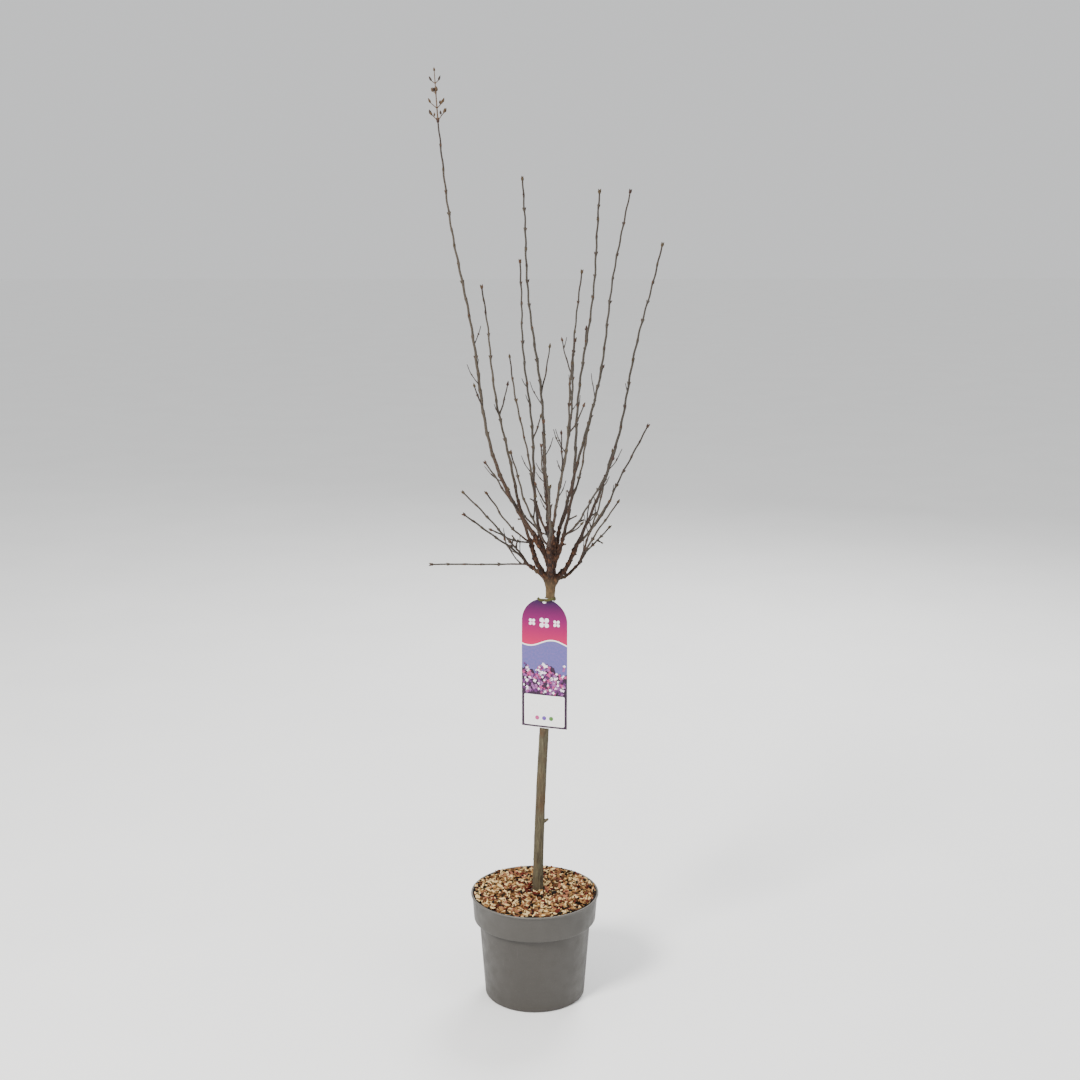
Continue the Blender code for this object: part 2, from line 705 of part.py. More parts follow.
class Mass:
    """The twigs that grow on from one limb's tip, gathered as pieces and then fused."""

    def __init__(self, name, growth):
        self.name = name
        self.growth = growth
        self.rng = random.Random(f"{SEED} {name}")
        self.pieces = make_collection(name + "_pieces")
        self.count = 0

    def add_twig(self, points, radii):
        swollen = [radius * THREE_SIDED_SWELL for radius in radii]
        self.count += 1
        limb(f"{self.name}_{self.count}", points, swollen, TWIG_SIDES, self.pieces)

    def add_bud(self, place, direction, length, radius):
        """A plump pointed bud with its root inside the twig."""
        centre = place + direction * length * BUD_STANDOUT
        if self.growth.room(self.name, [centre, centre + direction * BUD_REACH], [radius, radius]) < GAP:
            return
        mesh = bpy.data.meshes.new("bud")
        shape = bmesh.new()
        bmesh.ops.create_uvsphere(shape, u_segments=3, v_segments=2, radius=1)
        turn = direction.to_track_quat("Z", "Y").to_matrix().to_4x4()
        size = Matrix.Diagonal((radius, radius, length / 2, 1))
        bmesh.ops.transform(shape, matrix=Matrix.Translation(centre) @ turn @ size, verts=shape.verts)
        shape.to_mesh(mesh)
        shape.free()
        self.count += 1
        add_object(f"{self.name}_{self.count}", mesh, self.pieces)

    def add_buds(self, points, radii, first):
        """Opposite pairs up a twig, and a pair of plumper ones at its end."""
        length = line_length(points)
        distance = first
        turn = self.rng.uniform(0, 180)
        while distance < length - BUD_SPACING / 2:
            place, direction, radius = place_on(points, radii, distance)
            for half_turn in (0, 180):
                side = sideways(direction, turn + half_turn)
                self.add_bud(place + side * radius * BUD_INSET, tilted(direction, side, BUD_LEAN),
                             BUD_LENGTH, BUD_RADIUS)
            turn += 90
            distance += BUD_SPACING * self.rng.uniform(1 - BUD_SPACING_SPREAD, 1 + BUD_SPACING_SPREAD)
        for half_turn in (0, 180):
            self.add_end_bud(points, radii, turn + half_turn, END_BUD_LEAN)

    def add_end_bud(self, points, radii, turn, lean):
        direction = (points[-1] - points[-2]).normalized()
        side = sideways(direction, turn)
        self.add_bud(points[-1] - direction * radii[-1], tilted(direction, side, lean),
                     BUD_LENGTH * END_BUD_SCALE, BUD_RADIUS * END_BUD_SCALE)

    def try_twig(self, points, radii):
        """Add a twig of the rule where it stays in the crown and clear of every other solid."""
        for point in points:
            if math.hypot(point.x - FORK_X, point.y) > CROWN_REACH or point.z > CROWN_TOP:
                return False
        if self.growth.room(self.name, points, radii) < TWIG_CLEARANCE + BUD_REACH:
            return False
        self.add_twig(points, radii)
        self.growth.add(self.name, points, radii)
        return True

    def add_side_twigs(self, points, radii):
        """Short twigs up the lower part of a shoot, by the seeded rule."""
        length = line_length(points)
        distance = length * SIDE_TWIG_ZONE[0]
        while distance < length * SIDE_TWIG_ZONE[1]:
            if self.rng.random() < SIDE_TWIG_CHANCE:
                place, direction, radius = place_on(points, radii, distance)
                side = sideways(direction, self.rng.uniform(0, 360))
                lean = self.rng.uniform(*SIDE_TWIG_LEAN)
                reach = self.rng.uniform(*SIDE_TWIG_LENGTH)
                self.grow_side_twig(place, tilted(direction, side, lean), reach, radius)
            distance += BUD_SPACING

    def grow_side_twig(self, place, direction, reach, parent_radius):
        points = [place]
        for _ in range(SIDE_TWIG_STEPS):
            direction = (direction + Vector((0, 0, SIDE_TWIG_RISE))).normalized()
            points.append(points[-1] + direction * reach / SIDE_TWIG_STEPS)
        root = min(SIDE_TWIG_RADIUS, parent_radius * SIDE_TWIG_SHARE)
        radii = taper(root, SIDE_TWIG_TIP_RADIUS, SIDE_TWIG_STEPS)
        if self.try_twig(points, radii):
            self.add_end_bud(points, radii, 0, 0)

    def add_spur(self, points, radii):
        """A stubby spur near the foot of a shoot."""
        place, direction, _ = place_on(points, radii, self.rng.uniform(*SPUR_ZONE))
        side = sideways(direction, self.rng.uniform(0, 360))
        tip = place + tilted(direction, side, SPUR_LEAN) * self.rng.uniform(*SPUR_LENGTH)
        self.try_twig([place, place.lerp(tip, 0.5), tip], taper(SPUR_RADIUS, SPUR_TIP_RADIUS, 2))

    def add_panicle(self, foot, direction):
        """The dried flower head: a thin axis with pairs of branches that end in seed capsules."""
        axis = (direction + Vector((0, 0, PANICLE_LIFT))).normalized()
        top = foot + axis * PANICLE_LENGTH
        self.add_twig([foot - axis * WHIP_TIP_RADIUS, top], [PANICLE_RADIUS] * 2)
        inset = CAPSULE_LENGTH * CAPSULE_INSET
        self.add_bud(top - axis * inset, axis, CAPSULE_LENGTH, CAPSULE_RADIUS)
        for pair in range(PANICLE_PAIRS):
            share = pair / PANICLE_PAIRS
            place = foot.lerp(top, share)
            reach = PANICLE_BRANCH * (1 - PANICLE_NARROWING * share)
            for half_turn in (0, 180):
                side = sideways(axis, PANICLE_TURN * pair + half_turn)
                arm = tilted(axis, side, PANICLE_LEAN)
                end = place + arm * reach
                self.add_twig([place, end], [PANICLE_BRANCH_RADIUS] * 2)
                capsule = tilted(axis, side, PANICLE_LEAN / 2)
                self.add_bud(end - arm * inset, capsule, CAPSULE_LENGTH, CAPSULE_RADIUS)


def twig_masses(collection, growth, bough_lines):
    """Every mass of the crown: all main shoots first, then the twigs that keep clear of them."""
    masses = {}
    shoots = {}
    for name, (bough_name, whips) in MASSES.items():
        mass = Mass(name, growth)
        masses[name] = mass
        points, radii, direction = bough_lines[bough_name]
        foot = points[-1] + direction * GAP
        top = foot + direction * STEM_LENGTH
        stem_radius = radii[-1] * STEM_SHARE
        stem_points = [foot, foot.lerp(top, 0.5), top]
        stem_radii = [stem_radius, stem_radius, stem_radius * STEM_TAPER]
        growth.add(name, stem_points, stem_radii)
        shoots[name] = (stem_points, stem_radii, [])
        for whip in whips:
            line, sizes = whip_line(foot.lerp(top, WHIP_START), whip, mass.rng)
            shoots[name][2].append((line, sizes))
            growth.add(name, line, sizes)
    solids = []
    for name, (stem_points, stem_radii, lines) in shoots.items():
        mass = masses[name]
        stem = limb(name, stem_points, stem_radii, BOUGH_SIDES, collection)
        for line, sizes in lines:
            mass.add_twig(line, sizes)
            mass.add_buds(line, sizes, FIRST_BUD)
            mass.add_side_twigs(line, sizes)
        for index in range(SPURS_PER_MASS):
            mass.add_spur(*lines[index % len(lines)])
        if name == PANICLE_MASS:
            line = lines[0][0]
            mass.add_panicle(line[-1], (line[-1] - line[-2]).normalized())
        fuse(stem, mass.pieces, "MANIFOLD")
        solids.append(stem)
    return solids


def tag_frame():
    """Placement of the tag and tie: at the trunk's axis, turned so that -Y faces as the tag does."""
    return Matrix.Translation(trunk_centre(TIE_HEIGHT)) @ Matrix.Rotation(math.radians(TAG_YAW), 4, "Z")


def tag(collection):
    """A stiff card with a round head and a hole near its top edge."""
    radius = TAG_WIDTH / 2
    curve = bpy.data.curves.new("tag_outline", "CURVE")
    curve.dimensions = "2D"
    curve.fill_mode = "BOTH"
    curve.extrude = TAG_THICKNESS / 2
    drop = TAG_HOLE_RADIUS - TIE_RADIUS - GAP
    top = TAG_HOLE_INSET - drop
    outline = [(-radius, top - TAG_LENGTH), (radius, top - TAG_LENGTH)]
    for step in range(TAG_ARC_STEPS + 1):
        angle = math.pi * step / TAG_ARC_STEPS
        outline.append((radius * math.cos(angle), top - radius + radius * math.sin(angle)))
    hole = []
    for step in range(TAG_HOLE_STEPS):
        angle = 2 * math.pi * step / TAG_HOLE_STEPS
        hole.append((TAG_HOLE_RADIUS * math.cos(angle), TAG_HOLE_RADIUS * math.sin(angle) - drop))
    for loop in (outline, hole):
        spline = curve.splines.new("POLY")
        spline.points.add(len(loop) - 1)
        spline.use_cyclic_u = True
        for point, (across, up) in zip(spline.points, loop):
            point.co = (across, up, 0, 1)
    guide = add_object("tag_outline", curve, collection)
    mesh = closed_mesh(guide)
    bpy.data.objects.remove(guide)
    item = add_object("tag", mesh, collection)
    stand = Matrix.Rotation(math.radians(90), 4, "X")
    item.matrix_world = tag_frame() @ Matrix.Translation((TIE_OFFSET, -TAG_DISTANCE, 0)) @ stand
    return item


def smooth_line(knots, steps):
    """A smooth line through the knots."""
    ends = [knots[0] * 2 - knots[1]] + knots + [knots[-1] * 2 - knots[-2]]
    points = []
    for before, start, end, after in zip(ends, ends[1:], ends[2:], ends[3:]):
        for step in range(steps):
            share = step / steps
            pull = (start * 2 + (end - before) * share
                    + (before * 2 - start * 5 + end * 4 - after) * share ** 2
                    + (start * 3 - before - end * 3 + after) * share ** 3)
            points.append(pull / 2)
    points.append(knots[-1])
    return points


def tag_tie(collection):
    """A wire round the trunk whose two ends pass out through the tag's hole and splay in front."""
    loop_radius = trunk_radius(TIE_HEIGHT) + TIE_RADIUS + 2 * GAP
    front = -TAG_DISTANCE - TAG_THICKNESS
    half = [
        Vector((TIE_OFFSET - TIE_END_SPREAD, front - TIE_END_DEPTH, TIE_END_RISE)),
        Vector((TIE_OFFSET - TIE_END_SPREAD / 2, front - TIE_END_DEPTH, TIE_END_RISE / 3)),
        Vector((TIE_OFFSET - TIE_STRAND, front - TIE_END_DEPTH / 3, 0)),
        Vector((TIE_OFFSET - TIE_STRAND, -TAG_DISTANCE + TAG_THICKNESS, 0)),
    ]
    other = []
    for knot in reversed(half):
        other.append(Vector((2 * TIE_OFFSET - knot.x, knot.y, knot.z)))
    ring = [heading(angle, 0) * loop_radius for angle in range(*TIE_ARC)]
    points = [tag_frame() @ knot for knot in smooth_line(half + ring + other, TIE_STEPS)]
    return limb("tag_tie", points, [TIE_RADIUS] * len(points), TIE_SIDES, collection)


def remove_sections():
    for guide in [item for item in bpy.data.objects if item.name.startswith("section_")]:
        bpy.data.objects.remove(guide)


def main():
    clear_scene()
    plant = make_collection(COLLECTION)
    cutters = make_collection("cutters")
    looks = {name: make_material(name) for name in FINISHES}
    finish(pot(plant, cutters), looks["pot_plastic"])
    finish(root_ball(plant), looks["growing_medium"])
    finish(bark_mulch(plant, cutters), looks["bark_chips"], smooth=False)
    finish(trunk(plant), looks["trunk_bark"])
    growth = Growth()
    growth.add("trunk", *trunk_line())
    bough_lines = {}
    for bough in BOUGHS:
        points, radii, direction = bough_line(bough)
        finish(limb(bough.name, points, radii, BOUGH_SIDES, plant), looks["bough_bark"])
        growth.add(bough.name, points, radii)
        bough_lines[bough.name] = (points, radii, direction)
    for solid in twig_masses(plant, growth, bough_lines):
        finish(solid, looks["twig_bark"], smooth=False)
    finish(tag(plant), looks["tag_card"], smooth=False)
    finish(tag_tie(plant), looks["tie_wire"])
    remove_sections()


main()
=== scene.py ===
"""The looks of a potted lilac standard: bark, shoots, buds, bark chips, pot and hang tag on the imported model."""

import random
from collections import namedtuple
from math import atan2, ceil, copysign, cos, exp, hypot, pi, radians, sin, sqrt, tan

import bmesh
import bpy
import numpy as np
from mathutils import Matrix, Vector, noise


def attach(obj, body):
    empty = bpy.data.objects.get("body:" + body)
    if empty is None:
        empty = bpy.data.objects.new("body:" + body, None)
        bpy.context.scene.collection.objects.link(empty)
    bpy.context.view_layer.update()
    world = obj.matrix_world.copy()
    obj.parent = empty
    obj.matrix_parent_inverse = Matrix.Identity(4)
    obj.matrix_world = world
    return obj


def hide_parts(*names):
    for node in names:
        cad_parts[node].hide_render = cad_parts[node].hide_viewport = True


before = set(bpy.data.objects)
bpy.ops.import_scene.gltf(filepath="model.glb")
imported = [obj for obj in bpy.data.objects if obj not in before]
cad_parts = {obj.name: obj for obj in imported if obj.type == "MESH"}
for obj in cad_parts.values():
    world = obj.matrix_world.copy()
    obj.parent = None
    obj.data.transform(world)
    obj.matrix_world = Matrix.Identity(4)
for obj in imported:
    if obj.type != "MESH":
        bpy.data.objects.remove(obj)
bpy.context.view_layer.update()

# Pot, as in the source
GAP = 0.0003
POT_HEIGHT = 0.179
POT_BASE_RADIUS = 0.0835
POT_BODY_RADIUS = 0.0933
POT_WALL = 0.0016
POT_FLOOR = 0.0022
POT_HEEL = 0.003
COLLAR_BAND_HEIGHT = 0.045
COLLAR_FOOT_RADIUS = 0.1020
COLLAR_TOP_RADIUS = 0.1052
COLLAR_DROP = 0.003
COLLAR_SHELF = 0.0012
LIP_RADIUS = 0.0018
DRAIN_HOLES = 6
DRAIN_HOLE_RADIUS = 0.0055
DRAIN_CIRCLE_RADIUS = 0.066
DRAIN_TURN = 11.0
BAND_FOOT = POT_HEIGHT - COLLAR_BAND_HEIGHT
BODY_TOP = BAND_FOOT - COLLAR_DROP

# Growing medium and bark chips, as in the source
SOIL_HEIGHT = 0.164
MULCH_EDGE_HEIGHT = 0.178
MULCH_CENTRE_HEIGHT = 0.184

# Trunk, as in the source: radius by height above the medium
TRUNK_FOOT_X = 0.0045
FORK_X = 0.0275
FORK_HEIGHT = 0.776
TRUNK_WAVE = 0.0016
TRUNK_CUT = 0.004
TRUNK_SAMPLES = 60
TRUNK_TAPER = (
    (0.000, 0.0125), (0.006, 0.0108), (0.018, 0.0094), (0.050, 0.0084), (0.300, 0.0078),
    (0.520, 0.0073), (0.550, 0.0086), (0.575, 0.0076), (0.598, 0.0074), (0.612, 0.0066),
)

# Limbs, as in the source
BOUGH_SEGMENTS = 7
BOUGH_STRAIGHT_ENDS = 2
BOUGH_KNOBS = 0.10
SHOULDER_EXTRA = 0.002
SHOULDER_FLARE = 1.15

# The rule of the twigs, as in the source
STEM_LENGTH = 0.012
STEM_SHARE = 0.97
STEM_TAPER = 0.85
WHIP_START = 0.55
WHIP_LEAST_SEGMENTS = 6
WHIP_STEP = 0.044
WHIP_TIP_RADIUS = 0.0013
WHIP_WANDER = 0.010
WHIP_WAVES = 1.3
FLARE_POWER = 6
BASE_CROWDING = 1.5
CROWN_REACH = 0.208
CROWN_TOP = 1.510
TWIG_CLEARANCE = 0.0015
SAMPLE_STEP = 0.003
TWIST_REFERENCE = Vector((0.2, 0.3, 1))
SIDE_TWIG_CHANCE = 0.24
SIDE_TWIG_ZONE = (0.06, 0.62)
SIDE_TWIG_LENGTH = (0.022, 0.075)
SIDE_TWIG_LEAN = (28.0, 46.0)
SIDE_TWIG_RADIUS = 0.0014
SIDE_TWIG_TIP_RADIUS = 0.0010
SIDE_TWIG_SHARE = 0.8
SIDE_TWIG_RISE = 0.30
SIDE_TWIG_STEPS = 3
SPURS_PER_MASS = 2
SPUR_LENGTH = (0.007, 0.016)
SPUR_RADIUS = 0.0016
SPUR_TIP_RADIUS = 0.0011
SPUR_LEAN = 55.0
SPUR_ZONE = (0.012, 0.060)
BUD_SPACING = 0.062
BUD_SPACING_SPREAD = 0.25
BUD_LENGTH = 0.0062
BUD_RADIUS = 0.0017
BUD_LEAN = 34.0
BUD_STANDOUT = 0.32
BUD_INSET = 0.5
END_BUD_SCALE = 1.35
END_BUD_LEAN = 20.0
BUD_REACH = 0.004
FIRST_BUD = 0.045
OPPOSITE = (0, 180)
PANICLE_LENGTH = 0.072
PANICLE_PAIRS = 4
PANICLE_BRANCH = 0.017
PANICLE_LEAN = 50.0
PANICLE_LIFT = 0.6
PANICLE_TURN = 70.0
PANICLE_NARROWING = 0.75
CAPSULE_LENGTH = 0.0085
CAPSULE_RADIUS = 0.0021
SEED = 47

# Finer growth than the source's: more buds, and twigs of its own
MIDDLE_BUD_SCALE = (0.72, 0.92)
SIDE_TWIG_WITH_BUDS = 0.030
SIDE_BUD_SCALE = 1.2
SIDE_BUD_WIDTH = 0.7
SPUR_BUD_LEANS = (25, -25)
SPUR_BUD_SCALE = 0.75
FINE_CHANCE = 0.30
FINE_ZONE = (0.03, 0.55)
FINE_ZONE_ON_SIDE_TWIGS = (0.25, 0.8)
FINE_SPACING = (0.35, 0.6)
FINE_LENGTH = (0.010, 0.046)
FINE_LEAN = (30.0, 55.0)
FINE_RADIUS = 0.0009
FINE_TIP_RADIUS = 0.0006
FINE_WITH_BUDS = 0.02
FINE_BUD = 0.0034
FINE_BUD_PLACE = 0.55
FINE_BUD_WIDTH = 0.5

# Shells of twigs and buds
SIDE_REFERENCE = (0.31, 0.74, 0.6)
ROUND_TIP_ANGLES = np.array((0.45, 0.9, 1.25))
SHELL_STEP = 0.0022
SHOOT_SIDES = 9
TWIG_SIDES = 7
NODE_SWELL = 0.34
NODE_WIDTH = 0.0026
FOOT_SWELL = 0.45
FOOT_SWELL_LENGTH = 0.004
RIDGE_SIZE = 0.05
RIDGE_TWIST = 40
SHELL_ROUGHNESS = (0.95, 1.05)
SWAY = 0.0005
SWAY_LENGTH = 0.036
SWAY_FADE = 0.02
FOOT_WOOD_TO = 0.20
TIP_WOOD_FROM = 0.88
COLOUR_SPREAD = 0.045
BUD_FINISH = 0.95

# Profiles of a bud and a seed capsule: share of the length, share of the radius, tier
BUD_PROFILE = (
    (0.00, 0.50, 0), (0.10, 0.90, 0), (0.30, 1.00, 0), (0.36, 0.94, 0), (0.37, 0.84, 1),
    (0.56, 0.80, 1), (0.62, 0.70, 1), (0.63, 0.60, 2), (0.82, 0.40, 2), (0.95, 0.14, 2), (1.00, 0.03, 2),
)
CAPSULE_PROFILE = (
    (0.00, 0.22, 0), (0.08, 0.34, 0), (0.14, 0.80, 1), (0.32, 1.00, 1), (0.60, 0.86, 1),
    (0.84, 0.46, 1), (0.97, 0.16, 1), (1.00, 0.03, 1),
)

# Dried flower head
PANICLE_AXIS_RADII = (0.0013, 0.0010, 0.0007)
PANICLE_ARM_RADII = (0.0008, 0.0007, 0.0006)
PANICLE_FORK_RADII = (0.0006, 0.0005, 0.0005)
PANICLE_OVERLAP = 0.004
FORK_CHANCE = 0.6
FORK_LEAST_ARM = 0.009
FORK_ZONE = (0.5, 0.75)
FORK_TURN = 55
FORK_LENGTH = (0.003, 0.006)
TOP_CAPSULE = 0.75
ARM_CAPSULE = 0.95
FORK_CAPSULE = (0.7, 0.9)
CAPSULE_INSET = 0.1
STALK_STEP = 0.004
STALK_SIDES = 6

# Mesh of the pot
POT_SIDES = 160
LIP_STEPS = 14
HEEL_STEPS = 6
DRAIN_SIDES = 24
SHARP_ANGLE = 38

# Bark of the stem, its head and the boughs
TRUNK_TOP = FORK_HEIGHT + 0.004
TRUNK_RINGS = 150
TRUNK_SIDES = 28
BOUGH_SIDES = 16
STUB_SIDES = 12
BOUGH_STEP = 0.002
BOUGH_SEAT = 0.002
JOINT_SWELL = 0.0022
JOINT_SWELL_LENGTH = 0.010
KNOBS_PER_BOUGH = 6
KNOB_ZONE = (0.15, 1.0)
KNOB_SIZE = (0.70, 1.05)
KNOB_SINK = 0.55
KNOB_RELIEF = 0.35
KNOB_LUMPS = 1.2
END_KNOB = 1.35
STUB_ZONE = (0.3, 0.9)
STUB_LEAN = (35, 65)
STUB_LENGTH = (0.008, 0.015)
STUB_SHARES = (0.62, 0.5, 0.55)
STEM_STUB_HEIGHT = 0.297
STEM_STUB_HEADING = (-12, 35)
STEM_STUB_LENGTH = 0.0165
STEM_STUB_BEND = 0.6
STEM_STUB_RADII = (0.0042, 0.0028, 0.0024)
STEM_KNOBS = ((0.236, 200), (0.352, 100), (0.418, 290), (0.487, 30), (0.552, 215), (0.611, 140), (0.652, 320))
STEM_KNOB_RADIUS = 0.0030
STEM_KNOB_SINK = 0.0014
BARK_VOXEL = 0.0009
BARK_SOFTENING = 3
SMOOTH_FOOT = 0.0008
HEAD_BARK = (0.700, 0.724)
ROOT_FLARE = 0.016
# Ridges of the roots: height, number round the stem, phase
ROOT_RIDGES = ((0.0013, 3, 0.6), (0.0007, 5, 2.0))
# Waves in the bark: height, and how close their crests lie across and along
STEM_WAVES = ((0.00034, 420, 45), (0.00016, 900, 130))
KNOT_WAVE = (0.0005, 60, 34)
HEAD_WAVES = ((0.0007, 300, 300), (0.0004, 640, 640), (0.0011, 120, 120))
LENTICELS = 170
LENTICEL_PROFILE = ((0, 0.6, 0), (0.5, 1.0, 0), (1.0, 0.5, 0))
LENTICEL_ZONE = (SOIL_HEIGHT + 0.02, 0.70)
LENTICEL_RADIUS = (0.0003, 0.0006)
LENTICEL_LENGTH = 0.0006
LENTICEL_SINK = 0.0003

# Bark chips: name, colour and share of each tint
CHIP_TINTS = (
    ("chips_cream", (212, 183, 130), 0.29),
    ("chips_tan", (144, 105, 62), 0.24),
    ("chips_pink", (148, 96, 72), 0.08),
    ("chips_brown", (90, 57, 33), 0.17),
    ("chips_red", (88, 32, 22), 0.09),
    # Near-black chips: partly dark bark, partly painted shade standing for the gaps between chips
    ("chips_dark", (20, 13, 9), 0.17),
)
# Layers of chips: tries, height over the bed's top, tilt in degrees, reach beyond the pot's inside
CHIP_LAYERS = ((1050, -0.0020, 12, 0.0), (1300, -0.0004, 20, 0.0004), (620, 0.0010, 28, 0.0016))
CHIP_LENGTH = (0.0055, 0.0125)
CHIP_WIDTH = (0.26, 0.56)
CHIP_THICKNESS = (0.0010, 0.0022)
CHIP_CORNERS = (7, 11)
CHIP_CORNER_SHIFT = 0.28
CHIP_CORNER_SIZE = (0.72, 1.06)
CHIP_SQUARENESS = 0.7
CHIP_BEND = 0.18
CHIP_UNDERSIDE = (0.74, 0.92)
CHIP_TOP = (0.66, 0.90)
CHIP_ROUGHNESS = (0.8, 1.2)
CHIP_SCATTER = 0.0007
CHIP_STEM_HEIGHT = SOIL_HEIGHT + 0.014
CHIP_STEM_GAP = 0.0004
CHIP_MARGIN = 0.0006
CHIPS_AT_RIM = 0.0012
BED_DEPTH = 0.0035
BED_SLACK = 0.0008
BED_HEART = 0.01
BED_RINGS = 16
BED_SIDES = 96
BED_LUMPS = (0.0016, 160, 160)
RED_ROUND_STEM = 5.0
RED_REACH = 0.022

# Hang tag and its wire tie: as in the source, but the tie is a flat band with its ends nearer the stem
TIE_HEIGHT = 0.6840
TIE_RADIUS = 0.0008
TIE_WIDTH = 0.0046
TIE_THICKNESS = 0.0011
TIE_SIDES = 12
TIE_RIB = 0.5
TIE_RIB_POWER = 12
TIE_STEP = 0.0008
TIE_OFFSET = -0.0060
TIE_STRAND = 0.0012
TIE_ARC = (205, -75, -30)
TIE_END_SPREAD = 0.0135
TIE_END_RISE = 0.0045
TIE_END_SHIFT = 0.0040
TIE_END_DEPTH = 0.0040
TAG_WIDTH = 0.080
TAG_LENGTH = 0.219
TAG_THICKNESS = 0.0010
TAG_DISTANCE = 0.0122
TAG_YAW = -20.0
TAG_HOLE_RADIUS = 0.0028
TAG_HOLE_INSET = 0.0050
TAG_HOLE_DROP = TAG_HOLE_RADIUS - TIE_RADIUS - GAP
TAG_TOP = TAG_HOLE_INSET - TAG_HOLE_DROP
TAG_BOTTOM = TAG_TOP - TAG_LENGTH
TAG_CORNER = 0.002
CARD_THICKNESS = 0.0006
CARD_BOW = 0.0012
CARD_STRIPS = 16

# Print on the tag, all of it plain shapes. Levels are heights over the card's face
PRINT_WELD = 0.000005
PRINT_MARGIN = 0.0011
PRINT_THICKNESS = 0.00008
PRINT_LEVEL = 0.00006
GROUND_LEVEL = 0.00014
PANEL_LEVEL = 0.00024
FLORET_LEVEL = 0.00026
DOT_LEVEL = 0.00036
FLORET_SPREAD = 0.0003
LEAF_THICKNESS = 0.00005
HOLE_RING = 0.0012
WAVE_DROP = 0.074
WAVE_SIZE = 0.0055
WAVE_PHASE = 0.5
WAVE_LINE = 0.0022
WAVE_STEPS = 33
PANEL_HEIGHT = 0.056
PANEL_SIDE = 0.0042
PANEL_FOOT = 0.0030
PANEL_CORNER = 0.0025
GROUND_HEIGHT = 0.040
GROUND_WAVE = 0.008
GROUND_WAVES = 150
GROUND_SCATTER = 0.004
FLORET_TRIES = 640
FLORET_MARGIN = 0.003
FLORET_SIZE = (0.0016, 0.0032)
FLORET_CREST = 0.048
FLORET_CREST_WAVE = 0.010
FLORET_CREST_WAVES = 170
FLORET_TOP = 0.052
FLORET_TURN = 1.5
FLORETS_BESIDE_PANEL = 0.0026
FLORETS_ABOVE_PANEL = 0.0032
FLORETS_UNDER_WAVE = 0.007
PETAL_HEART = 0.26
PETAL_ROUNDNESS = 0.55
BLOSSOM_HEART = 0.22
BLOSSOM_DROP = 0.041
BLOSSOMS = ((-0.021, 0.0066), (0.0, 0.0098), (0.021, 0.0066))
DOT_HEIGHT = 0.017
DOT_RADIUS = 0.0036
DOTS = ((-0.012, "pink"), (0.0, "violet"), (0.012, "leaf"))
INKS = {
    "lilac": ((131, 67, 130), (147, 93, 147)),
    "pink": ((165, 42, 102), (176, 74, 126)),
    "purple": ((74, 22, 78), (94, 42, 99)),
    "pale": ((238, 222, 236), (246, 238, 244)),
    "violet": ((84, 50, 140), (104, 70, 156)),
    "leaf": ((60, 104, 40), (78, 122, 54)),
}
INK_SLOTS = {ink: slot for slot, ink in enumerate(INKS)}
# How often each of the first four inks comes among the florets
FLORET_INKS = (5, 3, 4, 3)

# Camera, and the lights: name, place, target, size, power, colour
CAMERA_PLACE = Vector((-0.024, -2.50, 1.294))
CAMERA_TILT = -11.6
CAMERA_PAN = -0.75
CAMERA_LENS = 53.0
CAMERA_SENSOR = 36
LIGHTS = (
    ("key", (-1.9, -2.3, 3.1), (0, 0, 0.8), 1.1, 230, (1.0, 0.98, 0.95)),
    ("fill", (2.6, -1.8, 1.8), (0, 0, 0.7), 2.0, 35, (0.96, 0.98, 1.0)),
    ("back", (0.9, 2.6, 2.8), (0, 0, 0.8), 1.6, 110, (1.0, 1.0, 1.0)),
)
WORLD_COLOUR = (0.98, 0.99, 1.0, 1.0)
WORLD_STRENGTH = 0.82
FLOOR_SIZE = 30
FLOOR_DROP = 0.0004

Bough = namedtuple("Bough", "name azimuth height lean_root lean_tip length root tip")
BOUGHS = (
    Bough("bough_left", 190, 0.704, 60, 76, 0.046, 0.0047, 0.0036),
    Bough("bough_low_left", 148, 0.710, 34, 26, 0.030, 0.0032, 0.0026),
    Bough("bough_right", 350, 0.706, 50, 68, 0.050, 0.0046, 0.0036),
    Bough("bough_low_right", 26, 0.712, 13, 38, 0.040, 0.0028, 0.0023),
    Bough("bough_inner_right", 60, 0.722, 67, 72, 0.036, 0.0036, 0.0030),
    Bough("bough_leader_left", 200, 0.742, 58, 62, 0.026, 0.0044, 0.0038),
    Bough("bough_front", 264, 0.714, 54, 64, 0.046, 0.0042, 0.0034),
    Bough("bough_back", 90, 0.710, 44, 62, 0.050, 0.0042, 0.0034),
    Bough("bough_back_left", 124, 0.728, 58, 68, 0.040, 0.0037, 0.0031),
    Bough("bough_front_right", 310, 0.730, 60, 70, 0.036, 0.0038, 0.0031),
    Bough("bough_leader", 180, FORK_HEIGHT, 90, 84, 0.020, 0.0056, 0.0047),
)

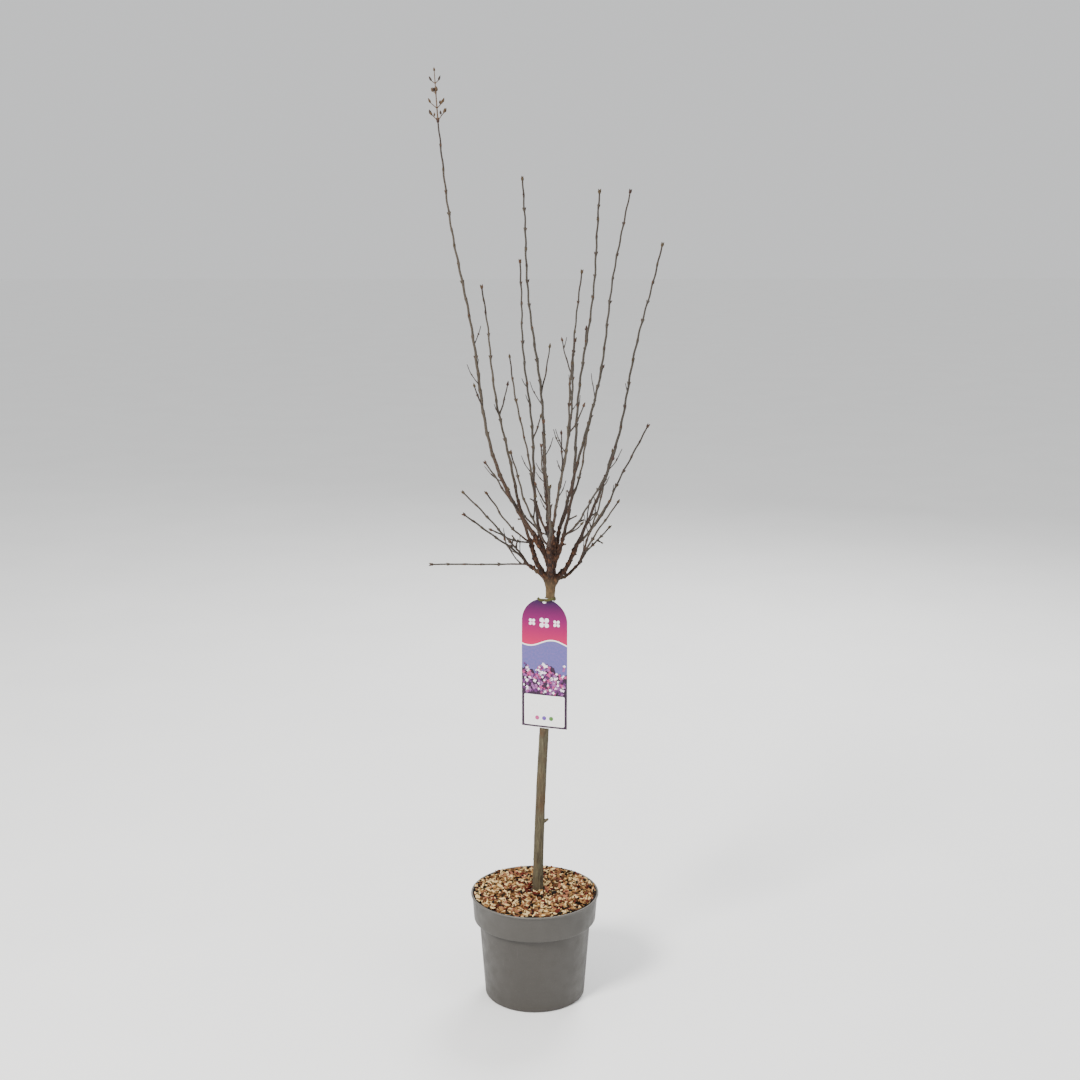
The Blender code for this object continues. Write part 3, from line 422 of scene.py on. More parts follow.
# Each mass grows from the bough of its name
Whip = namedtuple("Whip", "azimuth reach height flare root")
MASSES = {
    "left": ((157, 0.120, 1.180, 0.25, 0.0028), (232, 0.155, 0.822, 0.20, 0.0016), (211, 0.120, 0.868, 0.20, 0.0018)),
    "low_left": ((192, 0.142, 0.828, -0.10, 0.0023), (162, 0.150, 0.850, -0.10, 0.0020),
                 (168, 0.200, 0.732, 0.00, 0.0016)),
    "right": ((353, 0.170, 1.247, 0.18, 0.0028), (322, 0.112, 0.856, 0.10, 0.0016), (12, 0.158, 0.960, 0.15, 0.0020)),
    "low_right": ((29, 0.126, 0.832, -0.10, 0.0021), (346, 0.094, 0.806, -0.10, 0.0017),
                  (52, 0.170, 0.905, 0.10, 0.0018)),
    "inner_right": ((31, 0.146, 1.328, 0.15, 0.0027), (58, 0.165, 1.045, 0.20, 0.0020)),
    "leader": ((226, 0.066, 1.345, 0.10, 0.0028), (262, 0.105, 0.985, 0.05, 0.0022)),
    "leader_left": ((189, 0.175, 1.431, 0.42, 0.0034),),
    "front": ((281, 0.160, 1.112, 0.25, 0.0023), (268, 0.192, 0.900, 0.20, 0.0020), (247, 0.165, 0.945, 0.22, 0.0020)),
    "back": ((71, 0.160, 1.200, 0.22, 0.0026), (94, 0.200, 0.905, 0.20, 0.0020), (112, 0.180, 1.060, 0.25, 0.0022)),
    "back_left": ((114, 0.122, 1.218, 0.20, 0.0026), (136, 0.150, 0.890, 0.15, 0.0019)),
    "front_right": ((297, 0.146, 1.325, 0.20, 0.0027), (301, 0.172, 0.935, 0.20, 0.0019)),
}
PANICLE_MASS = "twigs_leader_left"


# Materials

def srgb(red, green, blue):
    """A colour seen as 8-bit values, as linear values with alpha."""
    shares = [value / 255 for value in (red, green, blue)]
    return (*(share / 12.92 if share <= 0.04045 else ((share + 0.055) / 1.055) ** 2.4 for share in shares), 1.0)


def shades(colour, *factors):
    """Lighter and darker versions of a linear colour."""
    return [(*(min(1.0, channel * factor) for channel in colour[:3]), 1.0) for factor in factors]


class Look:
    """A Principled material whose colour, roughness and relief come from patterns in the piece's own space."""

    def __init__(self, name, **sockets):
        self.material = bpy.data.materials.new(name)
        self.material.use_nodes = True
        self.tree = self.material.node_tree
        self.shader = self.tree.nodes["Principled BSDF"]
        for socket, value in sockets.items():
            self.shader.inputs[socket.replace("_", " ")].default_value = value
        self.place = self.tree.nodes.new("ShaderNodeTexCoord").outputs["Object"]

    def add(self, kind, inputs, **settings):
        node = self.tree.nodes.new(kind)
        for setting, value in settings.items():
            setattr(node, setting, value)
        for key, value in inputs.items():
            if isinstance(value, bpy.types.NodeSocket):
                self.tree.links.new(value, node.inputs[key])
            else:
                node.inputs[key].default_value = value
        return node

    def stretched(self, stretch):
        return self.add("ShaderNodeMapping", {"Vector": self.place, "Scale": stretch}).outputs["Vector"]

    def noise(self, scale, detail=4.0, stretch=(1, 1, 1), distortion=0.0):
        inputs = {"Vector": self.stretched(stretch), "Scale": scale, "Detail": detail, "Distortion": distortion}
        return self.add("ShaderNodeTexNoise", inputs).outputs["Fac"]

    def cells(self, scale):
        inputs = {"Vector": self.stretched((1, 1, 1)), "Scale": scale}
        return self.add("ShaderNodeTexVoronoi", inputs).outputs["Distance"]

    def axis(self, index):
        return self.add("ShaderNodeSeparateXYZ", {0: self.place}).outputs[index]

    def math(self, operation, first, second):
        return self.add("ShaderNodeMath", {0: first, 1: second}, operation=operation).outputs[0]

    def range(self, value, low, high, to_low=0.0, to_high=1.0):
        return self.add("ShaderNodeMapRange", {0: value, 1: low, 2: high, 3: to_low, 4: to_high}).outputs[0]

    def mix(self, share, first, second):
        return self.add("ShaderNodeMix", {0: share, 6: first, 7: second}, data_type="RGBA").outputs[2]

    def ramp(self, value, *stops):
        node = self.add("ShaderNodeValToRGB", {"Fac": value})
        elements = node.color_ramp.elements
        while len(elements) < len(stops):
            elements.new(0.5)
        for element, (position, colour) in zip(elements, stops):
            element.position = position
            element.color = colour
        return node.outputs["Color"]

    def layers(self, colour, *rows):
        """Tints laid over a colour: a pattern, where it starts and ends, the share covered there, and the tint."""
        for pattern, low, high, at_low, at_high, tint in rows:
            colour = self.mix(self.range(pattern, low, high, at_low, at_high), colour, tint)
        return colour

    def finish(self, colour, pattern, smooth, rough, relief, *heights):
        """The material, with its roughness from a pattern, and bumps from patterns, the later ones on top."""
        self.tree.links.new(colour, self.shader.inputs["Base Color"])
        self.tree.links.new(self.range(pattern, 0.3, 0.7, smooth, rough), self.shader.inputs["Roughness"])
        below = {}
        for height in heights:
            inputs = {"Height": height, "Distance": relief, "Strength": 1.0, **below}
            below = {"Normal": self.add("ShaderNodeBump", inputs).outputs["Normal"]}
        if below:
            self.tree.links.new(below["Normal"], self.shader.inputs["Normal"])
        return self.material


def pot_look():
    """Matte taupe plastic: moulding bands, dust and scuffs; painted light on the collar, a painted highlight on the
    lip, darker towards the foot, painted shadow under the band.
    """
    look = Look("pot_plastic", Specular_IOR_Level=0.4)
    # The lighter tint serves both the scuffs (real wear) and the painted highlight on the lip
    body, worn_and_highlight = srgb(61, 58, 54), srgb(104, 101, 96)
    dark, light = shades(body, 0.91, 1.08)
    broad = look.noise(9, 5)
    height = look.axis(2)
    low_down = look.math("ADD", height, look.range(broad, 0, 1, -0.02, 0.02))
    # Distance from the corner under the collar band, where the painted shadow goes
    from_shaded_corner = look.math("ABSOLUTE", look.math("SUBTRACT", height, BODY_TOP), 0.0)
    colour = look.layers(
        look.ramp(broad, (0.34, dark), (0.52, body), (0.70, light)),
        (look.noise(1, 3, (2, 2, 130)), 0.45, 0.66, 0.0, 0.35, dark),
        (look.noise(420, 4), 0.56, 0.80, 0.0, 0.13, srgb(104, 100, 93)),
        (look.noise(1, 3, (420, 420, 11)), 0.68, 0.76, 0.0, 0.13, worn_and_highlight),
        # Painted light: the collar above the band painted lighter than the body below it
        (height, BAND_FOOT - 0.0004, BAND_FOOT + 0.0004, 0.0, 0.22, srgb(80, 78, 74)),
        # Painted highlight: a lighter line along the lip of the rim
        (height, POT_HEIGHT - 0.0024, POT_HEIGHT - 0.0008, 0.0, 0.45, worn_and_highlight),
        # Darker towards the foot, next to the floor
        (low_down, 0.0, 0.03, 0.35, 0.0, srgb(52, 47, 41)),
        # Painted shadow: a dark ring in the corner under the collar's overhang
        (from_shaded_corner, 0.0006, 0.0030, 0.60, 0.0, srgb(33, 30, 27)),
    )
    moulding = look.noise(1, 2, (4, 4, 500))
    return look.finish(colour, look.noise(60, 4), 0.42, 0.60, 0.00010, moulding, look.noise(1100, 3))


def medium_look():
    """Dark crumbly growing medium."""
    look = Look("growing_medium")
    grain = look.noise(260, 8)
    colour = look.ramp(grain, (0.35, srgb(22, 15, 12)), (0.5, srgb(42, 29, 22)), (0.66, srgb(78, 56, 41)))
    return look.finish(colour, grain, 0.85, 1.0, 0.0012, grain, look.cells(320))


def chip_look(name, colour):
    """One tint of bark chip, with grain and darker fibres."""
    look = Look(name, Specular_IOR_Level=0.15)
    dark, middle, light = shades(srgb(*colour), 0.62, 1.0, 1.22)
    grain = look.noise(420, 6, (1, 1, 1), 0.6)
    tint = look.layers(
        look.ramp(grain, (0.34, dark), (0.50, middle), (0.68, light)),
        (look.noise(90, 3), 0.55, 0.72, 0.0, 0.5, dark),
    )
    return look.finish(tint, grain, 0.78, 0.96, 0.0005, look.noise(900, 4), grain)


def bark_look():
    """Olive-grey bark on the stem, streaked along it, that turns dark and flaky on the head and its boughs."""
    look = Look("lilac_bark", Specular_IOR_Level=0.25)
    streaks = look.noise(1, 7, (330, 330, 42), 0.3)
    patches = look.noise(26, 5)
    fissures = look.noise(1, 6, (1300, 1300, 190))
    flakes = look.noise(240, 7, (1, 1, 0.55), 0.5)
    stem = look.layers(
        look.ramp(streaks, (0.28, srgb(49, 43, 31)), (0.44, srgb(73, 66, 50)),
                  (0.60, srgb(86, 80, 61)), (0.76, srgb(112, 105, 83))),
        (patches, 0.48, 0.66, 0.0, 0.75, srgb(80, 59, 38)),
        (look.noise(38, 4), 0.56, 0.72, 0.0, 0.60, srgb(78, 78, 61)),
        (look.noise(70, 3, (1, 1, 0.4)), 0.66, 0.72, 0.0, 0.7, srgb(43, 34, 26)),
        (fissures, 0.52, 0.62, 0.0, 0.45, srgb(50, 41, 30)),
        (look.axis(2), 0.640, 0.694, 0.0, 0.55, srgb(114, 93, 62)),
    )
    head = look.ramp(flakes, (0.32, srgb(17, 10, 7)), (0.50, srgb(46, 27, 18)), (0.70, srgb(88, 58, 38)))
    height = look.math("ADD", look.axis(2), look.range(patches, 0.3, 0.7, -0.018, 0.018))
    colour = look.mix(look.range(height, 0.694, 0.722), stem, head)
    return look.finish(colour, streaks, 0.66, 0.90, 0.0008, fissures, flakes)


def wood_look(name, colour, scale=520):
    """Bark of a shoot or twig, a bud scale or a capsule: one base colour with a fine mottle."""
    look = Look(name, Specular_IOR_Level=0.3)
    dark, middle, light = shades(srgb(*colour), 0.66, 1.0, 1.30)
    mottle = look.noise(scale, 5)
    tint = look.ramp(mottle, (0.34, dark), (0.50, middle), (0.66, light))
    return look.finish(tint, mottle, 0.60, 0.82, 0.0003, look.noise(2 * scale, 4))


def print_look(name, first, second, *turning):
    """Glossy print: two inks in a fine mottle, or three that turn into each other between two heights."""
    look = Look(name, Specular_IOR_Level=0.25, Coat_Weight=0.10, Coat_Roughness=0.2)
    mottle = look.noise(300, 3)
    if turning:
        third, low, high = turning
        share = look.math("ADD", look.range(look.axis(1), low, high), look.range(mottle, 0, 1, -0.04, 0.04))
        tint = look.ramp(share, (0.0, srgb(*first)), (0.55, srgb(*second)), (1.0, srgb(*third)))
    else:
        tint = look.ramp(mottle, (0.35, srgb(*first)), (0.65, srgb(*second)))
    return look.finish(tint, look.noise(120, 4), 0.28, 0.42, 0.00006, look.noise(700, 3))


def floor_look():
    """Pale matte studio floor."""
    look = Look("pale_floor")
    grain = look.noise(3, 4)
    colour = look.ramp(grain, (0.3, srgb(249, 249, 248)), (0.7, srgb(252, 252, 251)))
    return look.finish(colour, grain, 0.75, 0.85, 0.0)


# Objects and meshes

def link(name, data):
    """A new object in the scene."""
    item = bpy.data.objects.new(name, data)
    bpy.context.scene.collection.objects.link(item)
    return item


def mesh_of(shape, name):
    """A mesh made from a bmesh, which is freed."""
    mesh = bpy.data.meshes.new(name)
    shape.to_mesh(mesh)
    shape.free()
    return mesh


def evaluated_mesh(item):
    """The mesh that an object's modifiers give, or that its curve fills."""
    bpy.context.view_layer.update()
    return bpy.data.meshes.new_from_object(item.evaluated_get(bpy.context.evaluated_depsgraph_get()))


def finish_piece(piece, slot, *nodes):
    """The piece stands for these solids and rides with the plant; slot is not used."""
    if nodes:
        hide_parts(*nodes)
    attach(piece, "root")


class Batch:
    """Shapes gathered into one mesh, each face with a material slot."""

    def __init__(self):
        self.points = []
        self.faces = []
        self.slots = []
        self.count = 0

    def add(self, points, faces, slot=0):
        """slot is one number, or one for each face."""
        self.points.append(np.asarray(points, dtype=float).reshape(-1, 3))
        self.faces.extend([index + self.count for index in face] for face in faces)
        self.slots.extend([slot] * len(faces) if isinstance(slot, int) else slot)
        self.count += len(self.points[-1])

    def build(self, name, materials, smooth=True):
        mesh = bpy.data.meshes.new(name)
        mesh.from_pydata(np.vstack(self.points).tolist(), [], self.faces)
        for material in materials:
            mesh.materials.append(material)
        mesh.polygons.foreach_set("material_index", self.slots)
        if smooth:
            mesh.shade_smooth()
        mesh.update()
        return link(name, mesh)


def part_way(low, high, share):
    return low + (high - low) * share


def halved(start, end):
    return [start, start.lerp(end, 0.5), end]


def unit(vectors):
    """Vectors of length one."""
    return vectors / np.linalg.norm(vectors, axis=-1, keepdims=True)


def turns(count):
    """Angles evenly round a circle."""
    return 2 * np.pi * np.arange(count) / count


def arc(centre, radius, start, sweep, steps):
    """Points on an arc given in degrees, with both its ends."""
    angles = [radians(start + sweep * step / steps) for step in range(steps + 1)]
    return [(centre[0] + radius * cos(angle), centre[1] + radius * sin(angle)) for angle in angles]


def frames(points):
    """Unit vectors along a line and two across it, carried on with the least turning."""
    along = unit(np.gradient(points, axis=0))
    side = np.cross(along[0], SIDE_REFERENCE)
    sides = []
    for direction in along:
        side = unit(side - direction * (side @ direction))
        sides.append(side)
    return along, np.array(sides), np.cross(along, sides)


def wall_faces(rings, sides):
    """Faces between rings of points."""
    low = sides * np.arange(rings - 1)[:, None]
    side = np.arange(sides)
    after = (side + 1) % sides
    corners = (low + side, low + after, low + sides + after, low + sides + side)
    return np.stack(corners, axis=-1).reshape(-1, 4).tolist()


def ring_faces(rings, sides):
    """Faces of a closed tube: its wall, then a face over each end."""
    last = (rings - 1) * sides
    return wall_faces(rings, sides) + [list(range(sides))[::-1], list(range(last, last + sides))]


def tube(points, radii, sides, round_tip=True):
    """Points and faces of a tube; radii holds one number a point, or one for each point and side."""
    points = np.asarray(points, dtype=float)
    radii = np.asarray(radii, dtype=float)
    if radii.ndim == 1:
        radii = np.repeat(radii[:, None], sides, axis=1)
    along, first, second = frames(points)
    if round_tip:
        reach = radii[-1].mean() * np.sin(ROUND_TIP_ANGLES)
        points = np.vstack([points, points[-1] + along[-1] * reach[:, None]])
        radii = np.vstack([radii, radii[-1] * np.cos(ROUND_TIP_ANGLES)[:, None]])
        extra = len(ROUND_TIP_ANGLES)
        first, second = (np.vstack([across, np.repeat(across[-1:], extra, axis=0)]) for across in (first, second))
    angles = turns(sides)[None, :, None]
    across = np.cos(angles) * first[:, None, :] + np.sin(angles) * second[:, None, :]
    shell = points[:, None, :] + radii[:, :, None] * across
    return shell.reshape(-1, 3), ring_faces(len(points), sides)


def smooth_path(points, radii, step):
    """A smooth line through the points, with the radii carried along and the distance at each place."""
    points = [Vector(point) for point in points]
    ends = [points[0] * 2 - points[1]] + points + [points[-1] * 2 - points[-2]]
    line = []
    sizes = []
    for index in range(len(points) - 1):
        before, start, end, after = ends[index:index + 4]
        count = max(1, ceil((end - start).length / step))
        for place in range(count):
            share = place / count
            pull = (start * 2 + (end - before) * share
                    + (before * 2 - start * 5 + end * 4 - after) * share ** 2
                    + (start * 3 - before - end * 3 + after) * share ** 3)
            line.append(pull / 2)
            sizes.append(part_way(radii[index], radii[index + 1], share))
    line = np.array(line + [points[-1]])
    lengths = np.linalg.norm(np.diff(line, axis=0), axis=1)
    return line, np.array(sizes + [radii[-1]]), np.concatenate([[0], np.cumsum(lengths)])


def lathe(profile, segments):
    """Points and faces of a profile of (radius, height) pairs turned about Z, both of whose ends are on the axis."""
    angles = turns(segments)
    rings = [np.column_stack([radius * np.cos(angles), radius * np.sin(angles), np.full(segments, height)])
             for radius, height in profile[1:-1]]
    points = np.vstack([*rings, [(0, 0, profile[0][1])], [(0, 0, profile[-1][1])]])
    faces = [(face[0], *face[:0:-1]) for face in wall_faces(len(rings), segments)]
    first, last = len(points) - 2, len(points) - 1
    bottom = first - segments
    for side in range(segments):
        after = (side + 1) % segments
        faces += [(first, side, after), (last, bottom + after, bottom + side)]
    return points, faces


def scale_body(profile, sides, flatness):
    """A pointed body along Z of unit length and radius, whose tiers are flattened in turn."""
    angles = turns(sides)
    rings = []
    for height, radius, tier in profile:
        reach = radius * (1 + flatness * np.cos(2 * angles + np.pi * tier))
        rings.append(np.column_stack([reach * np.cos(angles), reach * np.sin(angles), np.full(sides, height)]))
    return np.vstack(rings), ring_faces(len(profile), sides)


def add_body(batch, body, place, direction, length, radius, turn, slot=0):
    points, faces = body
    basis = Vector(direction).to_track_quat("Z", "Y").to_matrix() @ Matrix.Rotation(radians(turn), 3, "Z")
    matrix = np.array(basis) @ np.diag((radius, radius, length))
    batch.add(points @ matrix.T + np.array(place), faces, slot)


# The source's functions for the pot, stem and limbs

def heading(azimuth, lean):
    turn = radians(azimuth)
    rise = radians(lean)
    return Vector((cos(turn) * cos(rise), sin(turn) * cos(rise), sin(rise)))


def body_radius(height):
    return part_way(POT_BASE_RADIUS, POT_BODY_RADIUS, height / BODY_TOP)


def collar_radius(height):
    return part_way(COLLAR_FOOT_RADIUS, COLLAR_TOP_RADIUS, (height - BAND_FOOT) / COLLAR_BAND_HEIGHT)


def trunk_centre(height):
    share = (height - SOIL_HEIGHT) / (FORK_HEIGHT - SOIL_HEIGHT)
    wave = TRUNK_WAVE * sin(2 * pi * share)
    return Vector((part_way(TRUNK_FOOT_X, FORK_X, share) - wave, wave / 2, height))


def trunk_radius(height):
    heights, radii = zip(*TRUNK_TAPER)
    return float(np.interp(height - SOIL_HEIGHT, heights, radii))


def shoulder_face(bough):
    lean = radians(bough.lean_root)
    length = (trunk_radius(bough.height) + SHOULDER_EXTRA) / cos(lean) + bough.root * tan(lean)
    return trunk_centre(bough.height) + heading(bough.azimuth, bough.lean_root) * length


def bough_line(bough):
    rng = random.Random(bough.name)
    direction = heading(bough.azimuth, bough.lean_root)
    seat = shoulder_face(bough) if bough.height < FORK_HEIGHT else trunk_centre(FORK_HEIGHT)
    points = [seat + direction * GAP]
    bends = BOUGH_SEGMENTS - 2 * BOUGH_STRAIGHT_ENDS
    for index in range(BOUGH_SEGMENTS):
        turn = min(max(index - BOUGH_STRAIGHT_ENDS + 1, 0), bends) / bends
        if turn > 0:
            direction = heading(bough.azimuth, part_way(bough.lean_root, bough.lean_tip, turn))
        points.append(points[-1] + direction * bough.length / BOUGH_SEGMENTS)
    radii = []
    for index in range(len(points)):
        share = index / BOUGH_SEGMENTS
        knob = 1 + rng.uniform(-BOUGH_KNOBS, BOUGH_KNOBS) * sin(pi * share)
        radii.append(part_way(bough.root, bough.tip, share) * knob)
    return points, radii, direction


# The source's rule for twigs, carried on to finer ones

class Growth:
    """What stands in the crown so far, as spheres, each with the name of its mass."""

    def __init__(self):
        self.centres = np.empty((0, 3))
        self.radii = np.empty(0)
        self.owners = np.empty(0, dtype=object)

    def add(self, owner, points, radii):
        centres, sizes = resample(points, radii)
        self.centres = np.vstack([self.centres, centres])
        self.radii = np.concatenate([self.radii, sizes])
        self.owners = np.concatenate([self.owners, np.full(len(sizes), owner, dtype=object)])

    def room(self, owner, points, radii):
        centres, sizes = resample(points, radii)
        others = self.owners != owner
        apart = np.linalg.norm(centres[:, None, :] - self.centres[None, others, :], axis=2)
        return float((apart - sizes[:, None] - self.radii[None, others]).min())


def spans(points, radii):
    """Each stretch of a line: its start and end, and the radii there."""
    return zip(points, points[1:], radii, radii[1:])


def resample(points, radii):
    centres = []
    sizes = []
    for start, end, radius, next_radius in spans(points, radii):
        count = max(1, ceil((end - start).length / SAMPLE_STEP))
        for step in range(count):
            centres.append(start.lerp(end, step / count))
            sizes.append(part_way(radius, next_radius, step / count))
    return np.array(centres + [points[-1]]), np.array(sizes + [radii[-1]])


def taper(root, tip, count):
    return [part_way(root, tip, index / count) for index in range(count + 1)]


def whip_line(start, whip, rng):
    tip = Vector((FORK_X, 0, 0)) + heading(whip.azimuth, 0) * whip.reach
    tip.z = whip.height
    span = tip - start
    count = max(WHIP_LEAST_SEGMENTS, round(span.length / WHIP_STEP))
    phases = [rng.uniform(0, 2 * pi) for _ in range(2)]
    points = []
    for index in range(count + 1):
        share = (index / count) ** BASE_CROWDING
        spread = whip.flare * (1 - (1 - share) ** FLARE_POWER) + (1 - whip.flare) * share
        wander = WHIP_WANDER * span.length * sin(pi * share)
        drift = [wander * sin(2 * pi * WHIP_WAVES * share + phase) for phase in phases]
        points.append(start + Vector((span.x * spread + drift[0], span.y * spread + drift[1], span.z * share)))
    return points, taper(whip.root, WHIP_TIP_RADIUS, count)


def place_on(points, radii, distance):
    for start, end, radius, next_radius in spans(points, radii):
        length = (end - start).length
        if distance <= length:
            share = distance / length
            return start.lerp(end, share), (end - start).normalized(), part_way(radius, next_radius, share)
        distance -= length
    return points[-1], (points[-1] - points[-2]).normalized(), radii[-1]


def line_length(points):
    return sum((end - start).length for start, end in zip(points, points[1:]))


def sideways(direction, turn):
    side = direction.cross(TWIST_REFERENCE).normalized()
    return Matrix.Rotation(radians(turn), 3, direction) @ side


def tilted(direction, side, lean):
    return direction * cos(radians(lean)) + side * sin(radians(lean))


def random_side(points, radii, distance, rng):
    """The place at a distance along a limb, the direction there, one across it at random, and the radius."""
    place, direction, radius = place_on(points, radii, distance)
    return place, direction, sideways(direction, rng.uniform(0, 360)), radius


# rank: 0 main shoot, 1 side twig, 2 fine twig, 3 spur. nodes: distances of its buds
Twig = namedtuple("Twig", "points radii rank nodes")
Bud = namedtuple("Bud", "place direction length radius turn")


class Spray:
    """The growth on one limb: the source's shoots, side twigs and buds, then finer ones between them."""

    def __init__(self, name, growth):
        self.name = name
        self.growth = growth
        self.rng = random.Random(f"{SEED} {name}")
        self.fine_rng = random.Random(f"fine {name}")
        self.twigs = []
        self.buds = []

    def add_twig(self, points, radii, rank):
        self.growth.add(self.name, points, radii)
        twig = Twig(points, radii, rank, [])
        self.twigs.append(twig)
        return twig

    def add_bud(self, place, direction, length, radius):
        centre = place + direction * length * BUD_STANDOUT
        if self.growth.room(self.name, [centre, centre + direction * BUD_REACH], [radius, radius]) >= GAP:
            foot = centre - direction * length / 2
            self.buds.append(Bud(foot, direction, length, radius, self.fine_rng.uniform(0, 360)))

    def add_pair(self, twig, distance, turn, length=BUD_LENGTH, radius=BUD_RADIUS):
        place, direction, size = place_on(twig.points, twig.radii, distance)
        twig.nodes.append(distance)
        for half_turn in OPPOSITE:
            side = sideways(direction, turn + half_turn)
            self.add_bud(place + side * size * BUD_INSET, tilted(direction, side, BUD_LEAN), length, radius)

    def add_buds(self, twig, first):
        """The source's pairs, and one more pair between each two."""
        length = line_length(twig.points)
        distance = first
        turn = self.rng.uniform(0, 180)
        spots = []
        while distance < length - BUD_SPACING / 2:
            self.add_pair(twig, distance, turn)
            spots.append((distance, turn))
            turn += 90
            distance += BUD_SPACING * self.rng.uniform(1 - BUD_SPACING_SPREAD, 1 + BUD_SPACING_SPREAD)
        spots.append((length - WHIP_TIP_RADIUS, turn))
        for (start, start_turn), (end, _) in zip(spots, spots[1:]):
            scale = self.fine_rng.uniform(*MIDDLE_BUD_SCALE)
            self.add_pair(twig, (start + end) / 2, start_turn + 45, BUD_LENGTH * scale, BUD_RADIUS * scale)
        for half_turn in OPPOSITE:
            self.add_end_bud(twig, turn + half_turn, END_BUD_LEAN)

    def add_end_bud(self, twig, turn, lean, scale=END_BUD_SCALE):
        direction = (twig.points[-1] - twig.points[-2]).normalized()
        place = twig.points[-1] - direction * twig.radii[-1]
        heading_out = tilted(direction, sideways(direction, turn), lean)
        self.add_bud(place, heading_out, BUD_LENGTH * scale, BUD_RADIUS * scale)

    def try_twig(self, points, radii, rank, clearance=TWIG_CLEARANCE + BUD_REACH):
        for point in points:
            if hypot(point.x - FORK_X, point.y) > CROWN_REACH or point.z > CROWN_TOP:
                return None
        if self.growth.room(self.name, points, radii) < clearance:
            return None
        return self.add_twig(points, radii, rank)

    def add_side_twigs(self, twig):
        length = line_length(twig.points)
        distance = length * SIDE_TWIG_ZONE[0]
        while distance < length * SIDE_TWIG_ZONE[1]:
            if self.rng.random() < SIDE_TWIG_CHANCE:
                grown = self.grow_twig(twig, distance, self.rng, SIDE_TWIG_LEAN, SIDE_TWIG_LENGTH,
                                       SIDE_TWIG_RADIUS, SIDE_TWIG_TIP_RADIUS, 1)
                if grown:
                    self.add_end_bud(grown, 0, 0)
            distance += BUD_SPACING

    def grow_twig(self, twig, distance, rng, leans, lengths, root, tip, *placing):
        """A twig that rises from a place along another, if there is room for it."""
        place, direction, side, radius = random_side(twig.points, twig.radii, distance, rng)
        direction = tilted(direction, side, rng.uniform(*leans))
        reach = rng.uniform(*lengths)
        points = [place]
        for _ in range(SIDE_TWIG_STEPS):
            direction = (direction + Vector((0, 0, SIDE_TWIG_RISE))).normalized()
            points.append(points[-1] + direction * reach / SIDE_TWIG_STEPS)
        return self.try_twig(points, taper(min(root, radius * SIDE_TWIG_SHARE), tip, SIDE_TWIG_STEPS), *placing)

    def add_spur(self, twig):
        distance = self.rng.uniform(*SPUR_ZONE)
        place, direction, side, _ = random_side(twig.points, twig.radii, distance, self.rng)
        tip = place + tilted(direction, side, SPUR_LEAN) * self.rng.uniform(*SPUR_LENGTH)
        self.try_twig(halved(place, tip), taper(SPUR_RADIUS, SPUR_TIP_RADIUS, 2), 3)

    def add_fine_growth(self):
        """Finer twigs from the shoots and side twigs, where they stay within the crown and clear of the rest."""
        rng = self.fine_rng
        for twig in list(self.twigs):
            length = line_length(twig.points)
            zone = FINE_ZONE if twig.rank == 0 else FINE_ZONE_ON_SIDE_TWIGS
            if twig.rank == 1 and length > SIDE_TWIG_WITH_BUDS:
                turn = rng.uniform(0, 180)
                self.add_pair(twig, length / 2, turn, FINE_BUD * SIDE_BUD_SCALE, BUD_RADIUS * SIDE_BUD_WIDTH)
            if twig.rank > 1:
                for lean in SPUR_BUD_LEANS:
                    self.add_end_bud(twig, rng.uniform(0, 360), lean, SPUR_BUD_SCALE)
                continue
            distance = length * zone[0] + rng.uniform(0, BUD_SPACING / 2)
            while distance < length * zone[1]:
                if rng.random() < FINE_CHANCE:
                    self.grow_fine(twig, distance, rng)
                distance += BUD_SPACING * rng.uniform(*FINE_SPACING)

    def grow_fine(self, twig, distance, rng):
        grown = self.grow_twig(twig, distance, rng, FINE_LEAN, FINE_LENGTH, FINE_RADIUS, FINE_TIP_RADIUS, 2,
                               TWIG_CLEARANCE)
        length = line_length(grown.points) if grown else 0
        if length > FINE_WITH_BUDS:
            turn = rng.uniform(0, 180)
            self.add_pair(grown, length * FINE_BUD_PLACE, turn, FINE_BUD, BUD_RADIUS * FINE_BUD_WIDTH)


def grow_crown():
    """All sprays of the crown, with the limbs and the stems that they spring from."""
    growth = Growth()
    foot = SOIL_HEIGHT + GAP
    heights = [foot, *np.linspace(foot + TRUNK_CUT, FORK_HEIGHT, TRUNK_SAMPLES)]
    growth.add("trunk", [trunk_centre(height) for height in heights], [trunk_radius(height) for height in heights])
    limbs = {bough.name: bough_line(bough) for bough in BOUGHS}
    for name, (points, radii, _) in limbs.items():
        growth.add(name, points, radii)
    sprays = []
    stems = {}
    for name, whips in MASSES.items():
        spray = Spray("twigs_" + name, growth)
        sprays.append(spray)
        points, radii, direction = limbs["bough_" + name]
        start = points[-1] + direction * GAP
        top = start + direction * STEM_LENGTH
        radius = radii[-1] * STEM_SHARE
        stems["bough_" + name] = (halved(start, top), [radius, radius, radius * STEM_TAPER])
        growth.add(spray.name, *stems["bough_" + name])
        for whip in whips:
            spray.add_twig(*whip_line(start.lerp(top, WHIP_START), Whip(*whip), spray.rng), 0)
    for spray in sprays:
        shoots = [twig for twig in spray.twigs if twig.rank == 0]
        for twig in shoots:
            spray.add_buds(twig, FIRST_BUD)
            spray.add_side_twigs(twig)
        for index in range(SPURS_PER_MASS):
            spray.add_spur(shoots[index % len(shoots)])
    for spray in sprays:
        spray.add_fine_growth()
    return sprays, limbs, stems


# Twigs, buds and the dried flower head

BUD_BODY = scale_body(BUD_PROFILE, 7, 0.14)
CAPSULE_BODY = scale_body(CAPSULE_PROFILE, 7, 0.18)


